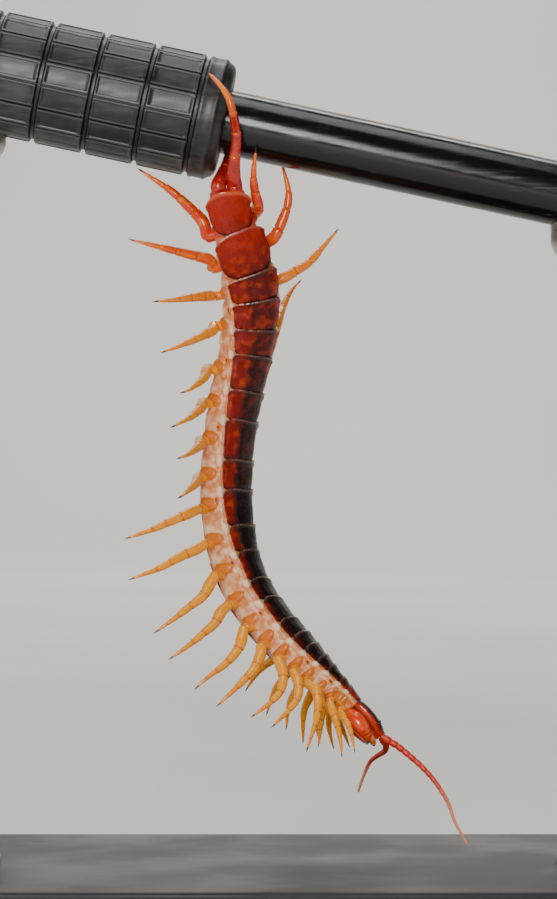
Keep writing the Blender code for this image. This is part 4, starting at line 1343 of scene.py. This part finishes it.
@dataclass
class Feelers:
    """Two feelers of eighteen short articles, red at the root and paler towards the tip."""

    photo: PhotoFrame
    right: tuple[tuple[float, float, float], ...] = (
        (384, 737.5, -6.2), (391, 742, -6.4), (400, 748, -6.8), (420, 765, -8), (436, 783, -9.5),
        (448, 803, -10.8),
        (455, 822, -11.3), (467, 844, -11.3),
    )
    left: tuple[tuple[float, float, float], ...] = (
        (382.5, 740, -2), (386, 745, -0.2), (384.5, 751, 4), (377, 756, 9), (370, 762, 13.5), (364, 775, 17.3),
        (358, 792, 20.3),
    )
    articles: int = 18
    radii: tuple[float, float] = (0.98, 0.34)

    def make(self, shell: bpy.types.Material) -> None:
        """Builds the two feelers as two pieces."""
        swell = ((0.0, 0.8), (0.06, 0.84), (0.2, 0.95), (0.5, 1.0), (0.8, 1.0), (0.94, 0.9))
        for side, stops in ((Side.LEFT, self.left), (Side.RIGHT, self.right)):
            route = Route([self.photo.seen(*stop) for stop in stops])
            rows, near = [(-0.02, self.radii[0] * 0.8)], [0.0]
            for article in range(self.articles):
                for share, size in swell:
                    place = (article + share) / self.articles
                    radius = self.radii[0] + (self.radii[1] - self.radii[0]) * place**0.8
                    rows.append((place, radius * size))
                    near.append(1.0 if share in (0.0, 0.94) else 0.0)
            rows += [(0.996, self.radii[1] * 0.5), (1.0, 0.0)]
            rings = route.rings(rows, 18)
            wide = np.ones(rings.shape[1])
            along = np.array([row[0] for row in rows])
            form = Form("joint", "end")
            end = np.outer(smooth(along, 0.35, 1.0), wide)
            masks = {"joint": np.outer(near + [0.0, 0.0], wide) * 0.6, "end": end}
            form.tube(rings, masks)
            form.finish(f"feeler_{side.word}", shell, [f"antenna_{side.word}"])


@dataclass
class Head:
    """The head: its capsule and shield, eyes, fangs on their plate, and the mouth's small limbs."""

    plan: BodyPlan
    length: float = 9.7
    # Shares of the length, with the half width, top and bottom there in mm.
    capsule: tuple[tuple[float, float, float, float], ...] = (
        (0.0, 4.3, 2.8, 0.5), (0.1, 4.7, 3.05, 0.5), (0.3, 5.0, 3.25, 0.55), (0.52, 4.95, 3.2, 0.55),
        (0.7, 4.5, 2.95, 0.55), (0.85, 3.7, 2.6, 0.5), (0.95, 2.9, 2.2, 0.5), (1.0, 2.4, 1.9, 0.6),
    )
    fang_plate: tuple[tuple[float, float, float, float], ...] = (
        (0.0, 2.3, -0.1, -3.2), (0.1, 2.4, 0.0, -3.5), (0.3, 2.4, 0.0, -3.5), (0.44, 2.0, -0.4, -3.1),
    )
    mouth: tuple[tuple[float, float, float, float], ...] = (
        (0.35, 2.4, 0.8, -1.2), (0.6, 2.9, 0.8, -1.6), (0.85, 2.4, 0.8, -1.4), (0.98, 1.6, 0.8, -0.7),
    )
    palp: tuple[tuple[float, float, float], ...] = (
        (6.6, 2.4, -0.9), (8.4, 2.9, -1.2), (9.9, 2.4, -1.5), (10.7, 1.3, -1.7),
    )
    # A fang's route beside and under the head: mm forward from the head's rear, sideways, and above its axis.
    fang: tuple[tuple[float, float, float], ...] = (
        (1.6, 4.1, -1.4), (3.6, 5.0, -1.5), (6.0, 5.05, -1.7), (7.9, 3.95, -2.1), (8.9, 2.35, -2.5),
        (9.0, 0.8, -2.8),
    )
    fang_thickness: tuple[tuple[float, float], ...] = (
        (-0.1, 1.6), (0.0, 1.8), (0.12, 2.1), (0.3, 2.12), (0.44, 1.9), (0.55, 1.5), (0.66, 1.2), (0.8, 0.72),
        (0.92, 0.35), (1.0, 0.0),
    )
    fang_joints: tuple[float, ...] = (0.47, 0.55, 0.64)
    eye_share: float = 0.74
    eye_angle: float = 64.0
    rear: Vector = field(init=False)
    forward: Vector = field(init=False)
    back: Vector = field(init=False)
    right: Vector = field(init=False)

    def __post_init__(self) -> None:
        """Takes the head's own axes from the neck."""
        self.rear, self.forward, self.back, self.right = self.plan.frame(self.plan.neck)

    def place(self, forward: float, sideways: float, up: float) -> Vector:
        """A point in mm given forward from the head's rear, to the right, and above its axis."""
        return self.rear + self.forward * forward + self.right * sideways + self.back * up

    def shell_point(
        self, share: float, angle: float, sections: Sequence[tuple[float, ...]], lift: float = 0.0
    ) -> Vector:
        """A point of a capsule.

        Args:
            share: Its place along the head.
            angle: Degrees from the middle of the top, + on the right.
            sections: The capsule's half widths, tops and bottoms.
            lift: How far it stands out, in mm.

        Returns:
            The point.
        """
        shares = [row[0] for row in sections]
        half, top, bottom = (np.interp(share, shares, [row[k] for row in sections]) for k in (1, 2, 3))
        across, up = math.sin(math.radians(angle)), math.cos(math.radians(angle))
        across = math.copysign(abs(across) ** 0.75, across) * (half + lift)
        up = math.copysign(abs(up) ** 0.75, up)
        height = (top + bottom) / 2 + up * ((top - bottom) / 2 + lift)
        return self.place(GAP / 2 + share * self.length, across, height)

    def body(self, form: Form, sections: Sequence[tuple[float, ...]], lift: float = 0.0) -> None:
        """Adds a capsule through the sections, with round ends, to a mesh."""
        last = sections[-1][0]
        shares = np.linspace(sections[0][0], last, 30)
        angles = np.linspace(0, 360, 57)
        rings = []
        for share in shares:
            rings.append(np.array([self.shell_point(share, angle, sections, lift) for angle in angles]))
        for end, sign in ((0, -1), (-1, 1)):
            middle = rings[end].mean(axis=0)
            source = rings[end]
            for size, step in ((0.93, 0.3), (0.75, 0.6), (0.4, 0.85), (0.0, 0.9)):
                cap = middle + (source - middle) * size + np.array(self.forward) * sign * step * 0.5
                rings.insert(0, cap) if end == 0 else rings.append(cap)
        points = np.array(rings)
        blank = np.zeros(points.shape[:2])
        low = np.tile(smooth(np.abs(np.mod(angles + 180, 360) - 180), 80, 130), (len(rings), 1))
        form.tube(points, {"joint": blank, "end": low})

    def make_shield(self, material: bpy.types.Material) -> None:
        """The shield on top of the head, with a thin raised rim."""
        form = Form("joint", "end")
        along = np.linspace(0, 1, 31)
        across = np.sin(np.linspace(-math.pi / 2, math.pi / 2, 45))
        far = np.abs(across)
        top = np.empty((len(along), len(across), 3))
        under = np.empty_like(top)
        for row, share in enumerate(along):
            inner = min(share, 1 - share) * self.length
            for column, offset in enumerate(across):
                rear, front = -0.09 + 0.05 * far[column] ** 3, 1.06 - 0.14 * far[column] ** 2.5
                place = rear + share * (front - rear)
                edge = min(inner, (1 - far[column]) * 5.5)
                thick = 0.3 * math.sqrt(float(smooth(edge, 0.0, 0.35)))
                lift = 0.3 + 0.12 * float(smooth(edge, 0.35, 0.1)) - 0.1 * float(smooth(edge, 0.2, 0.0))
                sections = self.capsule
                high = self.shell_point(min(max(place, 0.0), 1.0), offset * 78, sections, lift)
                low = self.shell_point(min(max(place, 0.0), 1.0), offset * 78, sections, lift - thick)
                beyond = self.forward * (place - min(max(place, 0.0), 1.0)) * self.length
                top[row, column] = high + beyond
                under[row, column] = low + beyond
        to_rim = [[min(v * self.length, (1 - v) * self.length, (1 - f) * 5.5) for f in far] for v in along]
        rim = smooth(np.array(to_rim), 0.5, 0.1)
        form.shell(top, under, {"joint": rim * 0.4, "end": rim * 0.0})
        form.finish("head_shield", material)

    def make_fangs(self, shell: bpy.types.Material) -> None:
        """The two fangs, each with short joints and a black point."""
        for side in Side:
            route = Route([self.place(forward, side.value * sideways, up) for forward, sideways, up in self.fang])
            places, radii = zip(*self.fang_thickness)
            rows, near = [], []
            for share in np.concatenate([np.linspace(-0.12, 0.7, 50), np.linspace(0.71, 1.0, 20)]):
                pinch = max(math.exp(-(((share - joint) / 0.01) ** 2)) for joint in self.fang_joints)
                radius = float(np.interp(share, places, radii))
                rows.append((float(share), radius * (1 - 0.1 * pinch)))
                near.append(pinch)
            rings = route.rings(rows, 28)
            wide = np.ones(rings.shape[1])
            along = np.array([row[0] for row in rows])
            form = Form("joint", "end")
            form.tube(rings, {"joint": np.outer(near, wide), "end": np.outer(smooth(along, 0.72, 0.86), wide)})
            form.finish(f"fang_limb_{side.word}", shell, [f"fang_{side.word}"])

    def make_palps(self, material: bpy.types.Material) -> None:
        """The pair of short limbs between the fangs and the feelers."""
        form = Form("joint", "end")
        for side in Side:
            route = Route([self.place(forward, side.value * sideways, up) for forward, sideways, up in self.palp])
            shares = np.linspace(0, 1, 26)
            near = np.maximum.reduce([np.exp(-(((shares - joint) / 0.03) ** 2)) for joint in (0.38, 0.7)])
            radii = np.interp(shares, (0.0, 0.3, 0.7, 0.95, 1.0), (0.75, 0.85, 0.62, 0.4, 0.0)) * (1 - 0.15 * near)
            rings = route.rings(list(zip(shares, radii)), 16)
            wide = np.ones(rings.shape[1])
            form.tube(rings, {"joint": np.outer(near, wide), "end": np.outer(smooth(shares, 0.9, 1.0), wide)})
        form.finish("palps", material)

    def make_eyes(self, material: bpy.types.Material) -> None:
        """Four small domes in a diamond on each side."""
        for side in Side:
            spot = self.shell_point(self.eye_share, side.value * self.eye_angle, self.capsule, 0.35)
            along = self.shell_point(self.eye_share + 0.08, side.value * self.eye_angle, self.capsule, 0.35) - spot
            turned = side.value * (self.eye_angle + 12)
            round_it = self.shell_point(self.eye_share, turned, self.capsule, 0.35) - spot
            normal = along.cross(round_it).normalized()
            if normal.dot(self.right) * side.value < 0:
                normal = -normal
            along.normalize()
            other = normal.cross(along)
            form = Form("joint", "end")
            turns = np.linspace(0, 2 * math.pi, 21)
            for x, y, radius in ((0.44, 0.0, 0.36), (-0.44, 0.0, 0.36), (0.0, 0.42, 0.34), (0.0, -0.44, 0.38)):
                centre = np.array(spot + along * x + other * y)
                rings = []
                for rise in np.linspace(-0.5, math.pi / 2, 9):
                    flat = np.outer(np.cos(turns), along) + np.outer(np.sin(turns), other)
                    out = np.array(normal) * radius * math.sin(rise)
                    rings.append(centre + flat * radius * math.cos(rise) + out)
                points = np.array(rings)
                form.tube(points, {"joint": points[:, :, 0] * 0, "end": points[:, :, 0] * 0})
            form.finish(f"ocelli_{side.word}", material, [f"eyes_{side.word}"])

    def make(self, materials: dict[str, bpy.types.Material]) -> None:
        """Builds the whole head."""
        form = Form("joint", "end")
        self.body(form, self.capsule)
        self.body(form, self.mouth)
        form.finish("head_capsule", materials["capsule"], ["head"])
        self.make_palps(materials["fang_plate"])
        self.make_shield(materials["shield"])
        form = Form("joint", "end")
        self.body(form, self.fang_plate, 0.1)
        form.finish("fang_base", materials["fang_plate"], ["fang_plate"])
        self.make_fangs(materials["fang"])
        self.make_eyes(materials["eye"])


@dataclass
class Bar:
    """The perch: a cut length of enamelled tube with a tiled rubber grip over its left part."""

    shaft_radius: float = 8.05
    grip_radius: float = 15.3
    tilt: float = math.radians(12.2)
    middle: Vector = field(default_factory=lambda: Vector((5.4, 0.0, 188.8)))
    ends: tuple[float, float] = (-79.0, 78.0)
    collar_end: float = -13.2
    groove_pitch: float = 13.0
    groove_last: float = -20.4
    groove_count: int = 5
    groove_half: float = 0.8
    groove_depth: float = 0.95
    tile_rows: int = 16
    tile_turn: float = math.radians(7.5)

    def at(self, along: np.ndarray, radius: np.ndarray, turn: np.ndarray) -> np.ndarray:
        """Points round the bar's axis.

        Args:
            along: Millimetres along it, down to the right.
            radius: Distances from the axis.
            turn: Turns round it in radians.

        Returns:
            The points.
        """
        frame = Matrix.Translation(self.middle) @ Matrix.Rotation(self.tilt, 4, "Y")
        turning = np.array(frame.to_3x3())
        local = np.stack(np.broadcast_arrays(along, radius * np.cos(turn), radius * np.sin(turn)), axis=-1)
        return local @ turning.T + np.array(frame.translation)

    def distance(self, x: float) -> float:
        """The place along the bar whose axis lies at a world X."""
        return (x - self.middle.x) / math.cos(self.tilt)

    def underside(self, x: float, y: float, radius: float) -> float:
        """The height of the underside of a round bar over a point of the floor."""
        fall = -math.sqrt(max(radius**2 - y**2, 0.0)) - (x - self.middle.x) * math.sin(self.tilt)
        return self.middle.z + fall / math.cos(self.tilt)

    def make_grip(self, material: bpy.types.Material) -> None:
        """The grip: tiles with sunk panels between grooves, a smooth collar, and the tube's bore."""
        left, collar = self.distance(self.ends[0]), self.distance(self.collar_end)
        last = self.distance(self.groove_last)
        grooves = [last - index * self.groove_pitch for index in range(self.groove_count)]
        grooves = [groove for groove in grooves if groove - self.groove_half > left + 1]
        offsets = (-1.45, -1.2, -0.95, -0.8, -0.55, -0.35, 0.0, 0.35, 0.55, 0.8, 0.95, 1.2, 1.45)
        along = sorted(
            [groove + offset for groove in grooves for offset in offsets]
            + [*np.linspace(left + 0.35, last - 2, 60)]
            + [left + 0.12, left + 0.7]
        )
        along = np.array([x for x in along if x < last + 1.0])
        pitch = 2 * math.pi * self.grip_radius / self.tile_rows
        cuts = np.array([0.0, 0.13, 0.2, 0.3, 0.62, 0.78, 0.95, 1.4, 2.0, 2.6, 3.0]) / pitch
        cell = np.concatenate([cuts, 1 - cuts[:0:-1]])
        places = np.append(np.concatenate([cell + row for row in range(self.tile_rows)]), self.tile_rows)
        edge = np.abs(np.mod(places + 0.5, 1.0) - 0.5) * pitch
        turns = places * 2 * math.pi / self.tile_rows + self.tile_turn
        gap = np.min(np.abs(along[:, None] - np.array(grooves)[None, :]), axis=1)
        gap = np.minimum(gap, along - left + self.groove_half)
        cross = self.groove_depth * (1 - smooth(gap, 0.35, 0.8))[:, None]
        rows = 0.55 * (1 - smooth(edge, 0.12, 0.3))[None, :]
        panel = 0.26 * smooth(gap, 1.15, 1.45)[:, None] * smooth(edge, 0.75, 0.98)[None, :]
        depth = np.maximum(np.maximum(cross, rows), panel)
        radius = self.grip_radius - depth
        # The groove mask, painted darker as painted shade.
        groove = np.clip(np.maximum(cross / self.groove_depth, rows / 0.55), 0, 1)
        # A paler grey band along the tile rims.
        wear = np.exp(-(((edge - 0.5) / 0.2) ** 2))[None, :] * (1 - groove) * np.ones_like(radius)
        points = [self.at(np.full(len(turns), x), radius[i], turns) for i, x in enumerate(along)]
        masks = {"groove": list(groove * np.ones_like(radius)), "wear": list(wear)}
        collar_profile = (
            (last + 0.85, 15.2), (last + 1.1, 15.3), (last + 1.4, 15.28), (last + 1.9, 15.12), (last + 4.0, 15.12),
            (last + 4.35, 15.28), (last + 4.9, 15.25), (last + 5.2, 14.9), (last + 5.4, 14.75),
            (collar - 1.8, 14.6),
            (collar - 0.8, 14.1), (collar - 0.25, 13.4), (collar, 12.6), (collar, 9.6), (collar - 0.2, 8.9),
            (collar - 0.6, 8.45),
            (left + 0.3, 8.35), (left + 0.05, 8.6), (left, 9.0), (left, 14.2), (left + 0.08, 14.8),
        )
        for x, size in collar_profile:
            points.append(self.at(np.full(len(turns), x), np.full(len(turns), size), turns))
            # The collar's step and the inside of the grip's bore get the groove's painted shade.
            masks["groove"].append(np.full(len(turns), 0.6 if abs(x - last - 5.3) < 0.15 or size < 8.5 else 0.0))
            masks["wear"].append(np.zeros(len(turns)))
        points.append(points[0])
        for values in masks.values():
            values.append(values[0])
        form = Form("groove", "wear")
        form.tube(np.array(points), {name: np.array(values) for name, values in masks.items()})
        form.finish("perch_rubber", material, ["perch_grip"])

    def make_tube(self, material: bpy.types.Material) -> None:
        """The enamelled tube, with bare cut ends and a bore."""
        left, right = (self.distance(x) for x in self.ends)
        wall, bore = 1.3, 14.0
        inner = self.shaft_radius - wall
        profile = (
            (left + bore, 0.0, 1), (left + bore, inner - 0.3, 1), (left + bore - 0.5, inner, 1),
            (left + 0.15, inner, 1), (left, inner + 0.15, 1), (left, self.shaft_radius - 0.35, 1),
            (left + 0.1, self.shaft_radius - 0.1, 0.5), (left + 0.35, self.shaft_radius, 0),
            (right - 0.35, self.shaft_radius, 0), (right - 0.1, self.shaft_radius - 0.1, 0.5),
            (right, self.shaft_radius - 0.35, 1), (right, inner + 0.15, 1), (right - 0.15, inner, 1),
            (right - bore + 0.5, inner, 1), (right - bore, inner - 0.3, 1), (right - bore, 0.0, 1),
        )
        turns = np.linspace(0, 2 * math.pi, 97)
        points, cut = [], []
        for index, (x, size, bare) in enumerate(profile):
            points.append(self.at(np.full(len(turns), x), np.full(len(turns), size), turns))
            cut.append(np.full(len(turns), float(bare)))
            if index == 7:
                for step in np.linspace(left + 5, right - 5, 30):
                    points.append(self.at(np.full(len(turns), step), np.full(len(turns), size), turns))
                    cut.append(np.zeros(len(turns)))
        form = Form("cut")
        form.tube(np.array(points), {"cut": np.array(cut)})
        form.finish("perch_tube", material, ["perch_shaft"])


@dataclass
class Stand:
    """The display stand: a flat base and two turned rods whose saddles carry the bar."""

    bar: Bar
    size: tuple[float, float, float] = (184.0, 128.0, 8.0)
    corner: float = 9.0
    rod_radius: float = 3.5
    rod_place: float = 74.5
    foot_radius: float = 5.0
    saddle_radius: float = 6.5
    saddle_height: float = 9.0

    def make_base(self, material: bpy.types.Material) -> None:
        """The base plate, with round corners and softened edges."""
        form = Form()
        mesh = form.mesh
        bmesh.ops.create_cube(mesh, size=1.0)
        bmesh.ops.scale(mesh, vec=self.size, verts=mesh.verts)
        bmesh.ops.translate(mesh, vec=(0, 0, self.size[2] / 2), verts=mesh.verts)
        settings = {"affect": "EDGES", "profile": 0.5, "material": -1}
        upright = [edge for edge in mesh.edges if abs(edge.verts[0].co.z - edge.verts[1].co.z) > 1.0]
        bmesh.ops.bevel(mesh, geom=upright, offset=self.corner, segments=14, **settings)
        top = [edge for edge in mesh.edges if min(vert.co.z for vert in edge.verts) > self.size[2] - 0.01]
        bmesh.ops.bevel(mesh, geom=top, offset=1.0, segments=4, **settings)
        under = [edge for edge in mesh.edges if max(vert.co.z for vert in edge.verts) < 0.01]
        bmesh.ops.bevel(mesh, geom=under, offset=0.4, segments=2, **settings)
        form.finish("stand_plate", material, ["stand_base"])

    def make_rods(self, material: bpy.types.Material) -> None:
        """The two rods, each with a flared foot and a saddle that fits the bar's underside."""
        for word, x, radius in (
            ("left", -self.rod_place, self.bar.grip_radius), ("right", self.rod_place, self.bar.shaft_radius)
        ):
            under = self.bar.underside(x, 0.0, radius + GAP)
            foot = self.size[2] + 0.02
            profile = (
                (foot, 0.0), (foot, self.foot_radius), (foot + 1.6, self.foot_radius), (foot + 2.1, 4.7),
                (foot + 2.6, 4.0), (foot + 3.4, 3.6),
                (foot + 4.5, self.rod_radius), (under - self.saddle_height - 1, self.rod_radius),
                (under - 8.0, 3.8), (under - 6.4, 4.6), (under - 5.0, 5.6), (under - 3.6, 6.3),
                *[(under - below, self.saddle_radius) for below in (2.6, 1.2, 0.0)],
                *[(under, size) for size in (6.0, 4.5, 3.0, 1.5, 0.0)],
            )
            turns = np.linspace(0, 2 * math.pi, 61)
            rings = []
            for z, size in profile:
                sides = (x + size * np.cos(turns), size * np.sin(turns), np.full(len(turns), z))
                ring = np.stack(sides, axis=-1)
                if z == under:
                    ring[:, 2] = [self.bar.underside(point[0], point[1], radius + 0.05) for point in ring]
                rings.append(ring)
            form = Form()
            form.tube(np.array(rings), {})
            form.finish(f"stand_post_{word}", material, [f"stand_rod_{word}"])


@dataclass
class Studio:
    """A pale seamless floor and backdrop under soft light."""

    half_width: float = 4500.0
    front: float = -4500.0
    bend: float = 2500.0
    bend_radius: float = 800.0
    rise: float = 3400.0

    def make(self, material: bpy.types.Material) -> None:
        """Builds the paper sweep and the lights."""
        turns = np.linspace(0, math.pi / 2, 17)
        line = [(self.front, 0.0), *[
            (self.bend + self.bend_radius * math.sin(t), self.bend_radius * (1 - math.cos(t))) for t in turns
        ], (self.bend + self.bend_radius, self.rise)]
        form = Form()
        points = np.array([[(x, y, z - 0.02) for x in (-self.half_width, self.half_width)] for y, z in line])
        form.sheet(points, {})
        bmesh.ops.scale(form.mesh, vec=(METRES,) * 3, verts=form.mesh.verts)
        data = bpy.data.meshes.new("studio_sweep")
        form.mesh.to_mesh(data)
        form.mesh.free()
        data.shade_smooth()
        data.materials.append(material)
        sweep = bpy.data.objects.new("studio_sweep", data)
        bpy.context.scene.collection.objects.link(sweep)
        self.light("key", (-0.14, -1.05, 0.4), (0.0, 0.0, 0.11), 0.4, 9.0)
        self.light("left", (-1.1, -0.5, 0.5), (0.0, 0.0, 0.1), 0.7, 3.0)
        self.light("right", (1.2, -0.35, 0.4), (0.0, 0.0, 0.1), 0.8, 1.0)
        self.light("top", (0.0, -0.1, 1.3), (0.0, 0.0, 0.1), 0.7, 5.0)
        self.light("backdrop", (0.0, 1.7, 2.4), (0.0, 3.0, 0.3), 1.6, 60.0)
        world = bpy.data.worlds.new("studio")
        world.use_nodes = True
        world.node_tree.nodes["Background"].inputs["Color"].default_value = tone(226, 224, 220)
        world.node_tree.nodes["Background"].inputs["Strength"].default_value = 0.16
        bpy.context.scene.world = world

    def light(
        self, name: str, place: Sequence[float], aim: Sequence[float], size: float, power: float
    ) -> None:
        """Adds one soft light.

        Args:
            name: Its name.
            place: Where it hangs, in metres.
            aim: What it faces.
            size: The side of its square face, in metres.
            power: Its power in watts.
        """
        data = bpy.data.lights.new(name, "AREA")
        data.shape = "SQUARE"
        data.size = size
        data.energy = power
        lamp = bpy.data.objects.new(name, data)
        lamp.location = place
        lamp.rotation_euler = (Vector(aim) - Vector(place)).to_track_quat("-Z", "Y").to_euler()
        bpy.context.scene.collection.objects.link(lamp)


def main() -> None:
    """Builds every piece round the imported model."""
    logging.basicConfig(level=logging.INFO, format="%(message)s")
    for item in list(bpy.data.objects):
        bpy.data.objects.remove(item, do_unlink=True)
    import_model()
    photo = PhotoFrame()
    plan = BodyPlan(photo)
    trunk = Trunk(plan)
    trunk.make_skin(SkinFinish().make())
    trunk.make_plates(PlateFinish().make(), BELLY_SHELL.make())
    trunk.make_spiracles(SPIRACLE_SHELL.make())
    WalkingLegs(plan).make(LimbFinish().make(), CLAW_SHELL.make())
    LastLegs(plan).make(LAST_LEG_SHELL.make())
    Feelers(photo).make(FEELER_SHELL.make())
    Head(plan).make({
        "capsule": CAPSULE_SHELL.make(), "shield": HEAD_SHELL.make(), "fang": FANG_SHELL.make(),
        "fang_plate": FANG_PLATE_SHELL.make(), "eye": EYE_SHELL.make(),
    })
    bar = Bar()
    bar.make_grip(RubberFinish().make())
    bar.make_tube(EnamelFinish().make())
    stand = Stand(bar)
    stand.make_base(SatinFinish().make())
    stand.make_rods(BrushedFinish().make())
    Studio().make(PaperFinish().make())
    photo.add_camera()


if __name__ == "__main__":
    main()
